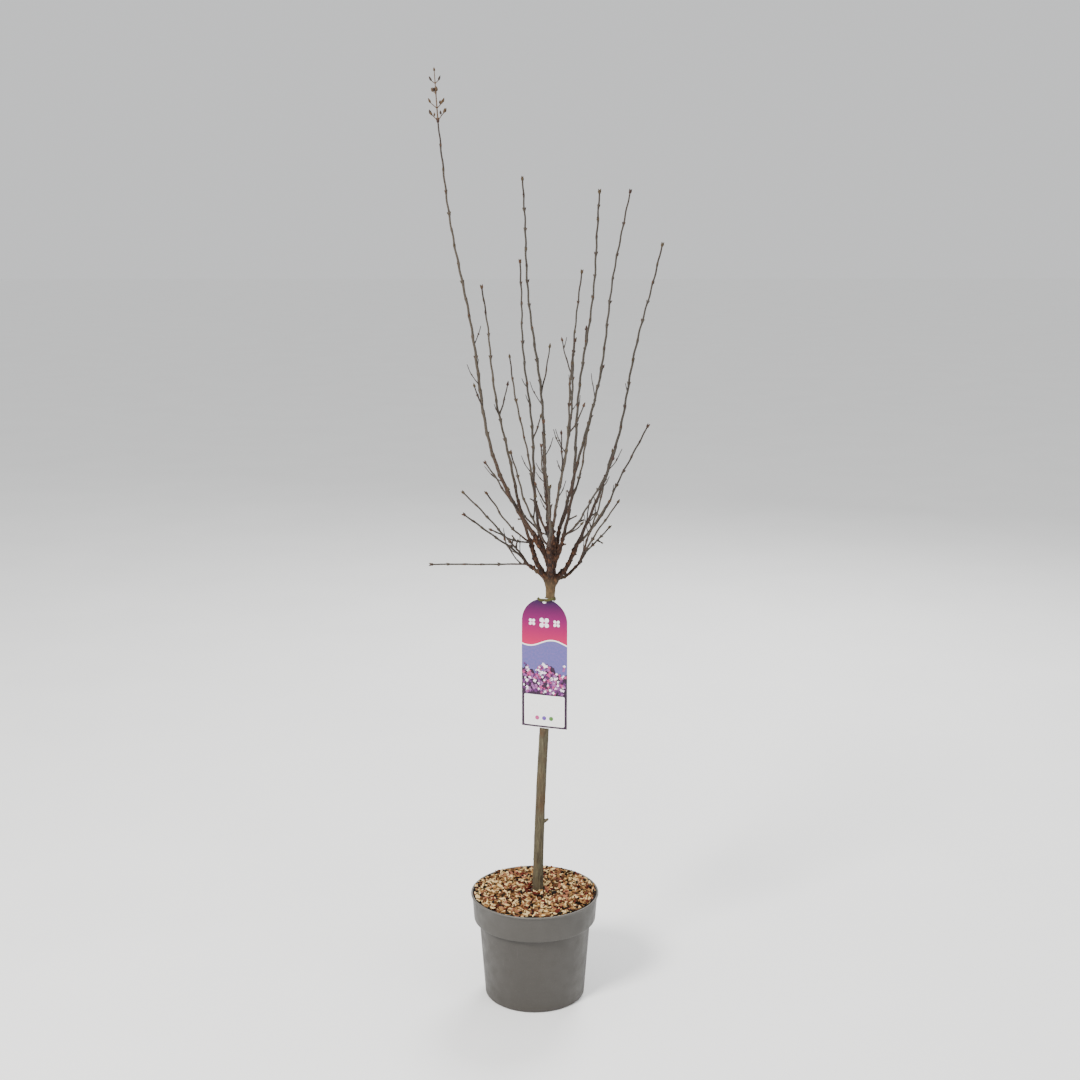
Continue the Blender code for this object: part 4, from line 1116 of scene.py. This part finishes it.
def twig_shell(twig, rng):
    """A twig's tube: swollen at its nodes and foot, faintly ridged, not quite straight between nodes."""
    line, radii, distances = smooth_path(twig.points, twig.radii, SHELL_STEP)
    length = distances[-1]
    swell = FOOT_SWELL * np.exp(-(distances / FOOT_SWELL_LENGTH) ** 2)
    for node in twig.nodes:
        swell += NODE_SWELL * np.exp(-((distances - node) / NODE_WIDTH) ** 2)
    sides = SHOOT_SIDES if twig.rank == 0 else TWIG_SIDES
    ridges = 1 + RIDGE_SIZE * np.cos(2 * turns(sides)[None, :] + RIDGE_TWIST * distances[:, None])
    rough = np.array([[rng.uniform(*SHELL_ROUGHNESS) for _ in range(sides)] for _ in line])
    phases = np.array([rng.uniform(0, 2 * pi) for _ in range(2)])
    sway = SWAY * np.sin(2 * np.pi * distances[:, None] / SWAY_LENGTH + phases)
    fade = np.clip(np.minimum(distances, length - distances) / SWAY_FADE, 0, 1)[:, None]
    line = line + np.column_stack([sway * fade, np.zeros(len(line))])
    points, faces = tube(line, (radii * (1 + swell))[:, None] * ridges * rough, sides)
    return points, faces, sides, list(distances / length)


def shoot_slots(twig, sides, shares, palette, rng):
    """Brown wood at the foot of a main shoot, greyer above, dark at the tip, in patches where they meet."""
    slots = []
    for share in shares + shares[-1:] * (len(ROUND_TIP_ANGLES) - 1):
        for _ in range(sides):
            spot = share + rng.gauss(0, COLOUR_SPREAD)
            kind = 2 if twig.rank > 0 or spot > TIP_WOOD_FROM else 0 if spot < FOOT_WOOD_TO else 1
            slots.append(palette + kind)
    return slots + [slots[0], slots[-1]]


def build_sprays(sprays, wood, bud_looks):
    """For each mass, one piece of wood and one of buds, which replace its solid."""
    for spray in sprays:
        rng = random.Random(f"shell {spray.name}")
        batch = Batch()
        for twig in spray.twigs:
            points, faces, sides, shares = twig_shell(twig, rng)
            palette = 3 * rng.randrange(2)
            batch.add(points, faces, shoot_slots(twig, sides, shares, palette, rng))
        finish_piece(batch.build(spray.name + "_wood", wood), "twig_bark", spray.name)
        batch = Batch()
        for bud in spray.buds:
            length, radius = bud.length * BUD_FINISH, bud.radius * BUD_FINISH
            add_body(batch, BUD_BODY, bud.place, bud.direction, length, radius, bud.turn, rng.randrange(3))
        finish_piece(batch.build(spray.name + "_buds", bud_looks), "twig_bark", spray.name)


def build_panicle(spray, looks):
    """The dried flower head: a thin axis, opposite branches that fork, and two-valved seed capsules."""
    rng = random.Random("panicle")
    line = spray.twigs[0].points
    foot = line[-1]
    axis = ((line[-1] - line[-2]).normalized() + Vector((0, 0, PANICLE_LIFT))).normalized()
    top = foot + axis * PANICLE_LENGTH
    stalks = Batch()
    capsules = Batch()

    def stalk(points, radii):
        path, sizes, _ = smooth_path(points, radii, STALK_STEP)
        stalks.add(*tube(path, sizes, STALK_SIDES))

    def capsule(end, arm, scale):
        length = CAPSULE_LENGTH * scale
        add_body(capsules, CAPSULE_BODY, end - arm * length * CAPSULE_INSET, arm, length, CAPSULE_RADIUS * scale,
                 rng.uniform(0, 360), rng.randrange(2))

    stalk([foot - axis * PANICLE_OVERLAP, foot.lerp(top, 0.5), top], PANICLE_AXIS_RADII)
    capsule(top, axis, TOP_CAPSULE)
    for pair in range(PANICLE_PAIRS):
        share = pair / PANICLE_PAIRS
        place = foot.lerp(top, share)
        reach = PANICLE_BRANCH * (1 - PANICLE_NARROWING * share)
        for half_turn in OPPOSITE:
            turn = PANICLE_TURN * pair + half_turn
            side = sideways(axis, turn)
            end = place + tilted(axis, side, PANICLE_LEAN) * reach
            stalk(halved(place, end), PANICLE_ARM_RADII)
            capsule(end, tilted(axis, side, PANICLE_LEAN / 2), ARM_CAPSULE)
            for fork in (-1, 1):
                if reach > FORK_LEAST_ARM and rng.random() < FORK_CHANCE:
                    low = place.lerp(end, rng.uniform(*FORK_ZONE))
                    twist = sideways(axis, turn + FORK_TURN * fork)
                    tip = low + tilted(axis, twist, PANICLE_LEAN) * rng.uniform(*FORK_LENGTH)
                    stalk(halved(low, tip), PANICLE_FORK_RADII)
                    capsule(tip, tilted(axis, twist, PANICLE_LEAN / 2), rng.uniform(*FORK_CAPSULE))
    finish_piece(stalks.build("panicle_stalks", looks[:1]), "twig_bark", spray.name)
    finish_piece(capsules.build("panicle_capsules", looks[1:]), "twig_bark", spray.name)


# Trunk and boughs

def ripple(point, size, across, along):
    """A wave of noise; across and along say how close its crests lie."""
    return size * noise.noise(Vector((point.x * across, point.y * across, point.z * along)))


def bark_relief(point):
    """How far the bark stands out at a place: ridges along the stem, flakes and knots on the head."""
    stem = sum(ripple(point, *wave) for wave in STEM_WAVES)
    knots = max(0.0, ripple(point, *KNOT_WAVE))
    centre = trunk_centre(point.z)
    angle = atan2(point.y - centre.y, point.x - centre.x)
    flare = exp(-max(point.z - SOIL_HEIGHT, 0) / ROOT_FLARE)
    roots = flare * sum(size * cos(count * angle + phase) for size, count, phase in ROOT_RIDGES)
    head = sum(ripple(point, *wave) for wave in HEAD_WAVES)
    low, high = HEAD_BARK
    return part_way(stem + knots + roots, head, min(max((point.z - low) / (high - low), 0.0), 1.0))


def add_knob(batch, centre, radius, rng):
    """A lumpy ball, half sunk in a limb."""
    shape = bmesh.new()
    bmesh.ops.create_icosphere(shape, subdivisions=2, radius=radius)
    shift = Vector([rng.uniform(0, 9) for _ in range(3)])
    for vert in shape.verts:
        vert.co *= 1 + KNOB_RELIEF * noise.noise(vert.co * (KNOB_LUMPS / radius) + shift)
    batch.add([centre + vert.co for vert in shape.verts], [[vert.index for vert in face.verts] for face in shape.faces])
    shape.free()


def build_trunk(limbs, stems, look):
    """One bark mesh for the stem, its grafted head and the boughs, with pruned stubs and swollen joints."""
    rng = random.Random("head")
    batch = Batch()
    foot = SOIL_HEIGHT + GAP
    heights = np.linspace(foot, TRUNK_TOP, TRUNK_RINGS)
    batch.add(*tube([trunk_centre(height) for height in heights], [trunk_radius(height) for height in heights],
                    TRUNK_SIDES, False))
    for bough in BOUGHS:
        line, sizes, _ = limbs[bough.name]
        length = line_length(line)
        stem_line, stem_radii = stems[bough.name]
        whole = [trunk_centre(bough.height - BOUGH_SEAT), *line, *stem_line[1:]]
        widths = [bough.root * SHOULDER_FLARE, *sizes, *stem_radii[1:]]
        path, path_radii, distances = smooth_path(whole, widths, BOUGH_STEP)
        path_radii += JOINT_SWELL * np.exp(-(distances / JOINT_SWELL_LENGTH) ** 2)
        batch.add(*tube(path, path_radii, BOUGH_SIDES))
        for _ in range(KNOBS_PER_BOUGH):
            spot, _, side, radius = random_side(line, sizes, rng.uniform(*KNOB_ZONE) * length, rng)
            add_knob(batch, spot + side * radius * KNOB_SINK, radius * rng.uniform(*KNOB_SIZE), rng)
        add_knob(batch, line[-1], sizes[-1] * END_KNOB, rng)
        for _ in range(rng.choice((1, 1, 2))):
            spot, along, side, radius = random_side(line, sizes, rng.uniform(*STUB_ZONE) * length, rng)
            tip = spot + tilted(along, side, rng.uniform(*STUB_LEAN)) * rng.uniform(*STUB_LENGTH)
            batch.add(*tube(halved(spot, tip), [radius * share for share in STUB_SHARES], STUB_SIDES, False))
    stub = trunk_centre(STEM_STUB_HEIGHT)
    tip = stub + heading(*STEM_STUB_HEADING) * STEM_STUB_LENGTH
    batch.add(*tube([stub, stub.lerp(tip, STEM_STUB_BEND), tip], STEM_STUB_RADII, STUB_SIDES))
    for height, azimuth in STEM_KNOBS:
        centre = trunk_centre(height) + heading(azimuth, 0) * (trunk_radius(height) - STEM_KNOB_SINK)
        add_knob(batch, centre, STEM_KNOB_RADIUS, rng)
    rough = batch.build("rough_bark", [look])
    remesh = rough.modifiers.new("remesh", "REMESH")
    remesh.mode = "VOXEL"
    remesh.voxel_size = BARK_VOXEL
    rough.modifiers.new("soften", "SMOOTH").iterations = BARK_SOFTENING
    mesh = evaluated_mesh(rough)
    bpy.data.objects.remove(rough)
    places = [vert.co.copy() for vert in mesh.vertices]
    normals = [normal.vector.copy() for normal in mesh.vertex_normals]
    raised = []
    for place, normal in zip(places, normals):
        raised.extend(place + normal * bark_relief(place) if place.z > foot + SMOOTH_FOOT else place)
    mesh.vertices.foreach_set("co", raised)
    mesh.update()
    mesh.shade_smooth()
    piece = link("bark_of_trunk_and_boughs", mesh)
    finish_piece(piece, "trunk_bark", "trunk", *(bough.name for bough in BOUGHS))


def build_lenticels(look):
    """Small pale corky dots on the stem."""
    rng = random.Random("lenticels")
    batch = Batch()
    body = scale_body(LENTICEL_PROFILE, 6, 0.0)
    for _ in range(LENTICELS):
        height = rng.uniform(*LENTICEL_ZONE)
        outward = heading(rng.uniform(0, 360), 0)
        place = trunk_centre(height) + outward * (trunk_radius(height) - LENTICEL_SINK)
        add_body(batch, body, place, outward, LENTICEL_LENGTH, rng.uniform(*LENTICEL_RADIUS), 0)
    finish_piece(batch.build("lenticels", [look]), "trunk_bark")


# Pot, growing medium and bark chips

def wall(radius_at, low, high, count, inset=0.0):
    """A stretch of the pot's profile, as radius and height at even steps."""
    return [(radius_at(height) - inset, height) for height in np.linspace(low, high, count)]


def pot_profile():
    """The pot's inside from the middle of its floor, its rolled lip, then its outside down to the rounded heel."""
    lip_height = POT_HEIGHT - LIP_RADIUS
    floor = body_radius(POT_FLOOR) - POT_WALL
    shelf = COLLAR_FOOT_RADIUS - POT_WALL
    inside = [
        (0, POT_FLOOR), (floor - 0.006, POT_FLOOR), (floor - 0.002, POT_FLOOR + 0.0006), (floor, POT_FLOOR + 0.003),
        *wall(body_radius, 0.02, BODY_TOP + COLLAR_SHELF - 0.001, 8, POT_WALL),
        (POT_BODY_RADIUS - POT_WALL + 0.001, BODY_TOP + COLLAR_SHELF + 0.0004),
        (shelf - 0.001, BAND_FOOT + COLLAR_SHELF - 0.0002), (shelf, BAND_FOOT + COLLAR_SHELF + 0.0008),
        *wall(collar_radius, BAND_FOOT + 0.008, lip_height, 5, POT_WALL),
    ]
    lip = arc((inside[-1][0] + LIP_RADIUS, lip_height), LIP_RADIUS, 180, -270, LIP_STEPS)[1:]
    edge = COLLAR_FOOT_RADIUS
    outside = [
        *wall(collar_radius, lip[-1][1] - 0.0015, BAND_FOOT + 0.0016, 7),
        (edge, BAND_FOOT + 0.0008), (edge - 0.0003, BAND_FOOT + 0.0002), (edge - 0.0009, BAND_FOOT - 0.0003),
        (POT_BODY_RADIUS + 0.0012, BODY_TOP + 0.0004), (POT_BODY_RADIUS + 0.0003, BODY_TOP - 0.0002),
        (body_radius(BODY_TOP - 0.0012), BODY_TOP - 0.0012),
        *wall(body_radius, BODY_TOP - 0.004, POT_HEEL + 0.002, 10),
    ]
    slack = body_radius(POT_HEEL) - POT_BASE_RADIUS
    heel = arc((body_radius(0) - POT_HEEL, POT_HEEL), POT_HEEL, 0, -90, HEEL_STEPS)
    rounded = [(radius + slack * (1 - step / HEEL_STEPS), height) for step, (radius, height) in enumerate(heel)]
    return inside + lip + outside + rounded[1:] + [(0, 0)]


def build_pot(look):
    """Thin moulded pot with drain holes in its floor."""
    batch = Batch()
    batch.add(*lathe(pot_profile(), POT_SIDES))
    pot = batch.build("pot_shell", [look])
    cutters = []
    for index in range(DRAIN_HOLES):
        place = heading(DRAIN_TURN + 360 * index / DRAIN_HOLES, 0) * DRAIN_CIRCLE_RADIUS
        shape = bmesh.new()
        bmesh.ops.create_cone(shape, cap_ends=True, segments=DRAIN_SIDES, radius1=DRAIN_HOLE_RADIUS,
                              radius2=DRAIN_HOLE_RADIUS, depth=4 * POT_FLOOR)
        bmesh.ops.translate(shape, vec=place, verts=shape.verts)
        cutters.append(link(f"drain_{index}", mesh_of(shape, "drain")))
        boolean = pot.modifiers.new("drain", "BOOLEAN")
        boolean.operation = "DIFFERENCE"
        boolean.object = cutters[-1]
    mesh = evaluated_mesh(pot)
    pot.modifiers.clear()
    pot.data = mesh
    for cutter in cutters:
        bpy.data.objects.remove(cutter)
    mesh.shade_smooth()
    mesh.set_sharp_from_angle(angle=radians(SHARP_ANGLE))
    finish_piece(pot, "pot_plastic", "pot")


def mulch_height(radius):
    share = min(radius / (collar_radius(MULCH_EDGE_HEIGHT) - POT_WALL - GAP), 1.0)
    return part_way(MULCH_CENTRE_HEIGHT, MULCH_EDGE_HEIGHT, share ** 2)


def build_bed(edge, look):
    """The dark bed that the chips lie on, with a lumpy top."""
    seat = SOIL_HEIGHT + GAP
    top = [(radius, mulch_height(radius) - BED_DEPTH) for radius in (0, *np.linspace(BED_HEART, edge, BED_RINGS))]
    points, faces = lathe(top + [(edge - BED_SLACK, seat), (0, seat)], BED_SIDES)
    for point in points:
        if point[2] > seat:
            point[2] += ripple(Vector(point), *BED_LUMPS)
    batch = Batch()
    batch.add(points, faces)
    finish_piece(batch.build("mulch_bed", [look]), "bark_chips", "bark_mulch")


def chip_shape(rng):
    """A splintered flake of bark, squarish at its ends and a little bent, as points and faces about its middle."""
    corners = rng.randrange(*CHIP_CORNERS)
    length = rng.uniform(*CHIP_LENGTH)
    width = length * rng.uniform(*CHIP_WIDTH)
    thickness = rng.uniform(*CHIP_THICKNESS)
    bend = rng.uniform(-CHIP_BEND, CHIP_BEND) * length
    outline = []
    for corner in range(corners):
        angle = 2 * pi * (corner + rng.uniform(-CHIP_CORNER_SHIFT, CHIP_CORNER_SHIFT)) / corners
        size = rng.uniform(*CHIP_CORNER_SIZE)
        across, deep = (copysign(abs(side) ** CHIP_SQUARENESS, side) for side in (cos(angle), sin(angle)))
        outline.append((length / 2 * size * across, width / 2 * size * deep))
    points = []
    for level, shrink in ((-0.5, rng.uniform(*CHIP_UNDERSIDE)), (0.1, 1.0), (0.5, rng.uniform(*CHIP_TOP))):
        for across, deep in outline:
            lift = bend * (across / (length / 2)) ** 2 + level * thickness * rng.uniform(*CHIP_ROUGHNESS)
            points.append((across * shrink, deep * shrink, lift))
    return np.array(points), ring_faces(3, corners), length, width


def build_chips(edge, looks):
    """Some thousands of bark chips heaped to the rim, one piece for each tint, with more red ones at the stem."""
    rng = random.Random("chips")
    batches = [Batch() for _ in CHIP_TINTS]
    for count, lift, tilt, beyond in CHIP_LAYERS:
        for _ in range(count):
            shape, faces, length, width = chip_shape(rng)
            radius = (edge + beyond - width / 2 - CHIP_MARGIN) * sqrt(rng.random())
            angle = rng.uniform(0, 2 * pi)
            x, y = radius * cos(angle), radius * sin(angle)
            clear = hypot(x - TRUNK_FOOT_X, y) - length / 2
            if clear < trunk_radius(CHIP_STEM_HEIGHT) + CHIP_STEM_GAP:
                continue
            along_rim = radius > edge - length / 2 - CHIP_MARGIN
            turn = Matrix.Rotation(angle + pi / 2 if along_rim else rng.uniform(0, 2 * pi), 3, "Z")
            for axis in "XY":
                turn = turn @ Matrix.Rotation(radians(rng.gauss(0, tilt)), 3, axis)
            raised = lift + CHIPS_AT_RIM * (radius / edge) ** 4 + rng.uniform(-CHIP_SCATTER, CHIP_SCATTER)
            red_share = RED_ROUND_STEM if clear < RED_REACH else 1.0
            shares = [share * (red_share if name == "chips_red" else 1.0) for name, _, share in CHIP_TINTS]
            batch = rng.choices(batches, shares)[0]
            batch.add(shape @ np.array(turn).T + (x, y, mulch_height(radius) + raised), faces)
    for (name, _, _), chips, look in zip(CHIP_TINTS, batches, looks):
        finish_piece(chips.build(name, [look], smooth=False), "bark_chips", "bark_mulch")


# Hang tag and its tie

def tie_frame():
    """The tie's own space: the origin on the stem's centre line, Y away from the tag."""
    return Matrix.Translation(trunk_centre(TIE_HEIGHT)) @ Matrix.Rotation(radians(TAG_YAW), 4, "Z")


def tag_frame():
    """The tag's own space: X across, Y up, Z towards the viewer, the origin at the height of the tie."""
    shift = Matrix.Translation((TIE_OFFSET, -TAG_DISTANCE, 0))
    return tie_frame() @ shift @ Matrix.Rotation(radians(90), 4, "X")


def card_depth(across):
    """How far the bowed card lies behind its middle line, as a negative height."""
    return -CARD_BOW * (across / (TAG_WIDTH / 2)) ** 2


def circle(across, up, radius, steps=24):
    return arc((across, up), radius, 0, 360, steps)[:-1]


def head_arc(radius):
    """The tag's round head."""
    return arc((0, TAG_TOP - TAG_WIDTH / 2), radius, 0, 180, 48)


def corner_arcs(radius, *corners):
    """Rounded corners: where each one is, and the angle that its arc starts from."""
    outline = []
    for across, up, start in corners:
        inward = radians(start + 45)
        centre = (across - copysign(radius, cos(inward)), up - copysign(radius, sin(inward)))
        outline += arc(centre, radius, start, 90, 4)
    return outline


def wave(across):
    """The wavy lower edge of the arch."""
    return TAG_TOP - WAVE_DROP + WAVE_SIZE * sin(2 * pi * across / TAG_WIDTH + WAVE_PHASE)


def floret(across, up, size, turn, petals=4):
    """Outline of a small open flower with rounded petals."""
    points = []
    for angle in turns(petals * 8):
        reach = size * part_way(PETAL_HEART, 1, abs(cos(petals * angle / 2)) ** PETAL_ROUNDNESS)
        points.append((across + reach * cos(angle + turn), up + reach * sin(angle + turn)))
    return points


def add_sheet(name, loops, look, level, thickness=PRINT_THICKNESS):
    """A filled outline on the tag, cut fine enough to follow the card's bow."""
    curve = bpy.data.curves.new(name, "CURVE")
    curve.dimensions = "2D"
    curve.fill_mode = "BOTH"
    curve.extrude = thickness / 2
    for loop in loops:
        spline = curve.splines.new("POLY")
        spline.points.add(len(loop) - 1)
        spline.use_cyclic_u = True
        for point, (across, up) in zip(spline.points, loop):
            point.co = (across, up, 0, 1)
    guide = link(name, curve)
    mesh = evaluated_mesh(guide)
    bpy.data.objects.remove(guide)
    shape = bmesh.new()
    shape.from_mesh(mesh)
    bmesh.ops.remove_doubles(shape, verts=shape.verts, dist=PRINT_WELD)
    for cut in np.linspace(-TAG_WIDTH / 2, TAG_WIDTH / 2, CARD_STRIPS + 1)[1:-1]:
        geometry = list(shape.verts) + list(shape.edges) + list(shape.faces)
        bmesh.ops.bisect_plane(shape, geom=geometry, plane_co=(cut, 0, 0), plane_no=(1, 0, 0))
    bmesh.ops.recalc_face_normals(shape, faces=shape.faces)
    for vert in shape.verts:
        vert.co.z += card_depth(vert.co.x) + level
    mesh = mesh_of(shape, name)
    mesh.materials.append(look)
    sheet = link(name, mesh)
    sheet.matrix_world = tag_frame()
    finish_piece(sheet, "tag_card", "tag")


def add_leaf(batch, outline, level, slot):
    """A thin closed leaf of print on the card."""
    points = []
    for lift in (0.0, LEAF_THICKNESS):
        for across, up in outline:
            points.append((across, up, CARD_THICKNESS / 2 + card_depth(across) + level + lift))
    count = len(outline)
    sides = wall_faces(2, count)
    batch.add(points, [list(range(count))[::-1], list(range(count, 2 * count)), *sides], slot)


def build_tag(looks, inks):
    """A glossy card: a shaded arch with three plain blossoms, a sprig of florets below it, a bare white panel."""
    front = CARD_THICKNESS / 2
    edge = TAG_WIDTH / 2
    card = head_arc(edge) + corner_arcs(TAG_CORNER, (-edge, TAG_BOTTOM, 180), (edge, TAG_BOTTOM, 270))
    hole = circle(0, -TAG_HOLE_DROP, TAG_HOLE_RADIUS)
    add_sheet("tag_card_sheet", [card, hole], looks["card"], 0.0, CARD_THICKNESS)
    edge -= PRINT_MARGIN
    places = [float(across) for across in np.linspace(-edge, edge, WAVE_STEPS)]
    arch = head_arc(edge) + [(across, wave(across)) for across in places]
    ring = circle(0, -TAG_HOLE_DROP, TAG_HOLE_RADIUS + HOLE_RING)
    add_sheet("tag_print_arch", [arch, ring], looks["arch"], front + PRINT_LEVEL)
    high = TAG_BOTTOM + PANEL_HEIGHT
    low = TAG_BOTTOM + PRINT_MARGIN
    sky = [(across, wave(across) - WAVE_LINE) for across in places] + [(edge, high), (-edge, high)]
    add_sheet("tag_print_sky", [sky], looks["sky"], front + PRINT_LEVEL)
    rng = random.Random("print")
    ground = [(-edge, low), (edge, low)]
    for across in reversed(places):
        rolling = high + GROUND_HEIGHT + GROUND_WAVE * sin(across * GROUND_WAVES)
        ground.append((across, rolling + rng.uniform(-GROUND_SCATTER, GROUND_SCATTER)))
    add_sheet("tag_print_ground", [ground], looks["ground"], front + GROUND_LEVEL)
    side = edge - PANEL_SIDE
    foot = low + PANEL_FOOT
    panel = corner_arcs(PANEL_CORNER, (side, high, 0), (-side, high, 90), (-side, foot, 180), (side, foot, 270))
    add_sheet("tag_panel", [panel], looks["card"], front + PANEL_LEVEL)
    batch = Batch()
    for _ in range(FLORET_TRIES):
        across = rng.uniform(-edge + FLORET_MARGIN, edge - FLORET_MARGIN)
        up = rng.uniform(low + FLORET_MARGIN, high + FLORET_TOP)
        clear_of_panel = up > high + FLORETS_ABOVE_PANEL or abs(across) > side + FLORETS_BESIDE_PANEL
        crest = high + FLORET_CREST + FLORET_CREST_WAVE * cos(across * FLORET_CREST_WAVES)
        if clear_of_panel and up < min(crest, wave(across) - FLORETS_UNDER_WAVE):
            size = rng.uniform(*FLORET_SIZE)
            level = FLORET_LEVEL + rng.random() * FLORET_SPREAD
            outline = floret(across, up, size, rng.uniform(0, FLORET_TURN))
            add_leaf(batch, outline, level, rng.choices(range(len(FLORET_INKS)), FLORET_INKS)[0])
    for across, size in BLOSSOMS:
        up = TAG_TOP - BLOSSOM_DROP
        add_leaf(batch, floret(across, up, size, pi / 4), FLORET_LEVEL, INK_SLOTS["pale"])
        add_leaf(batch, circle(across, up, size * BLOSSOM_HEART, 12), DOT_LEVEL, INK_SLOTS["pink"])
    for across, ink in DOTS:
        add_leaf(batch, circle(across, TAG_BOTTOM + DOT_HEIGHT, DOT_RADIUS), DOT_LEVEL, INK_SLOTS[ink])
    florets = batch.build("tag_print_florets", inks, smooth=False)
    florets.matrix_world = tag_frame()
    finish_piece(florets, "tag_card", "tag")


def build_tie(look):
    """The flat coated wire round the stem, whose ends come through the tag's hole and splay."""
    loop_radius = trunk_radius(TIE_HEIGHT) + TIE_RADIUS + 2 * GAP
    front = -TAG_DISTANCE - TAG_THICKNESS
    half = [Vector(knot) for knot in (
        (TIE_OFFSET - TIE_END_SPREAD, front - TIE_END_DEPTH, TIE_END_RISE),
        (TIE_OFFSET - TIE_END_SPREAD / 2, front - TIE_END_DEPTH, TIE_END_RISE / 3),
        (TIE_OFFSET - TIE_STRAND, front - TIE_END_DEPTH / 3, 0),
        (TIE_OFFSET - TIE_STRAND, -TAG_DISTANCE + TAG_THICKNESS, 0),
    )]
    other = [Vector((2 * TIE_OFFSET - knot.x, knot.y, knot.z)) for knot in reversed(half)]
    half[0].x += TIE_END_SHIFT
    other[-1].x += TIE_END_SHIFT
    ring = [heading(angle, 0) * loop_radius for angle in range(*TIE_ARC)]
    knots = [tie_frame() @ knot for knot in half + ring + other]
    line, _, _ = smooth_path(knots, [TIE_RADIUS] * len(knots), TIE_STEP)
    along = unit(np.gradient(line, axis=0))
    flat = unit(np.cross(along, (0.0, 0.0, 1.0)))
    upright = np.cross(flat, along)
    angles = turns(TIE_SIDES)
    depth = TIE_THICKNESS / 2 * np.cos(angles) * (1 + TIE_RIB * np.abs(np.cos(angles)) ** TIE_RIB_POWER)
    height = TIE_WIDTH / 2 * np.sin(angles)
    shell = (line[:, None, :] + depth[None, :, None] * flat[:, None, :]
             + height[None, :, None] * upright[:, None, :])
    batch = Batch()
    batch.add(shell, ring_faces(len(line), TIE_SIDES))
    finish_piece(batch.build("tag_tie_ribbon", [look]), "tie_wire", "tag_tie")


# Stage

def build_stage():
    """Pale floor, even sky, three soft lights, and the camera at the photograph's viewing angle."""
    shape = bmesh.new()
    bmesh.ops.create_grid(shape, x_segments=8, y_segments=8, size=FLOOR_SIZE)
    floor = link("studio_floor", mesh_of(shape, "studio_floor"))
    floor.location.z = -FLOOR_DROP
    floor.data.materials.append(floor_look())
    world = bpy.context.scene.world or bpy.data.worlds.new("studio")
    bpy.context.scene.world = world
    world.use_nodes = True
    background = world.node_tree.nodes["Background"]
    background.inputs["Color"].default_value = WORLD_COLOUR
    background.inputs["Strength"].default_value = WORLD_STRENGTH
    for name, place, target, size, power, colour in LIGHTS:
        data = bpy.data.lights.new(name, "AREA")
        data.shape = "DISK"
        data.size = size
        data.energy = power
        data.color = colour
        light = link(name, data)
        light.location = place
        light.rotation_euler = (Vector(target) - Vector(place)).to_track_quat("-Z", "Y").to_euler()
    data = bpy.data.cameras.new("camera")
    data.lens = CAMERA_LENS
    data.sensor_width = CAMERA_SENSOR
    camera = link("camera", data)
    camera.location = CAMERA_PLACE
    camera.rotation_euler = (radians(90 + CAMERA_TILT), 0, radians(CAMERA_PAN))
    bpy.context.scene.camera = camera


def main():
    build_stage()
    sprays, limbs, stems = grow_crown()
    wood = []
    for kind, foot, upper, tip in (
        ("a", (59, 42, 31), (66, 58, 49), (48, 40, 35)),
        ("b", (50, 36, 28), (57, 51, 44), (53, 45, 38)),
    ):
        for part, colour in (("foot", foot), ("upper", upper), ("tip", tip)):
            wood.append(wood_look(f"shoot_{part}_{kind}", colour))
    buds = (("a", (50, 32, 25)), ("b", (68, 46, 31)), ("c", (62, 50, 32)))
    build_sprays(sprays, wood, [wood_look("bud_scales_" + kind, colour, 900) for kind, colour in buds])
    panicle_looks = [
        wood_look("panicle_stalk", (82, 62, 44)),
        wood_look("capsule_a", (72, 54, 34), 700),
        wood_look("capsule_b", (46, 33, 25), 700),
    ]
    build_panicle(next(spray for spray in sprays if spray.name == PANICLE_MASS), panicle_looks)
    build_trunk(limbs, stems, bark_look())
    build_lenticels(wood_look("lenticel_cork", (98, 86, 66), 900))
    build_pot(pot_look())
    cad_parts["root_ball"].data.materials.clear()
    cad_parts["root_ball"].data.materials.append(medium_look())
    edge = collar_radius(MULCH_EDGE_HEIGHT) - POT_WALL - BED_SLACK
    build_bed(edge, medium_look())
    build_chips(edge, [chip_look(name, colour) for name, colour, _ in CHIP_TINTS])
    tag_looks = {
        "card": print_look("tag_card_stock", (232, 231, 228), (240, 240, 238)),
        "arch": print_look("tag_ink_arch", (178, 0, 74), (118, 0, 82), (44, 0, 58), TAG_TOP - 0.078, TAG_TOP - 0.006),
        "sky": print_look("tag_ink_sky", (84, 82, 142), (100, 86, 144)),
        "ground": print_look("tag_ink_ground", (28, 10, 32), (52, 22, 52)),
    }
    build_tag(tag_looks, [print_look("tag_ink_" + ink, *shades_of_ink) for ink, shades_of_ink in INKS.items()])
    build_tie(wood_look("tie_coating", (66, 62, 26), 800))


main()
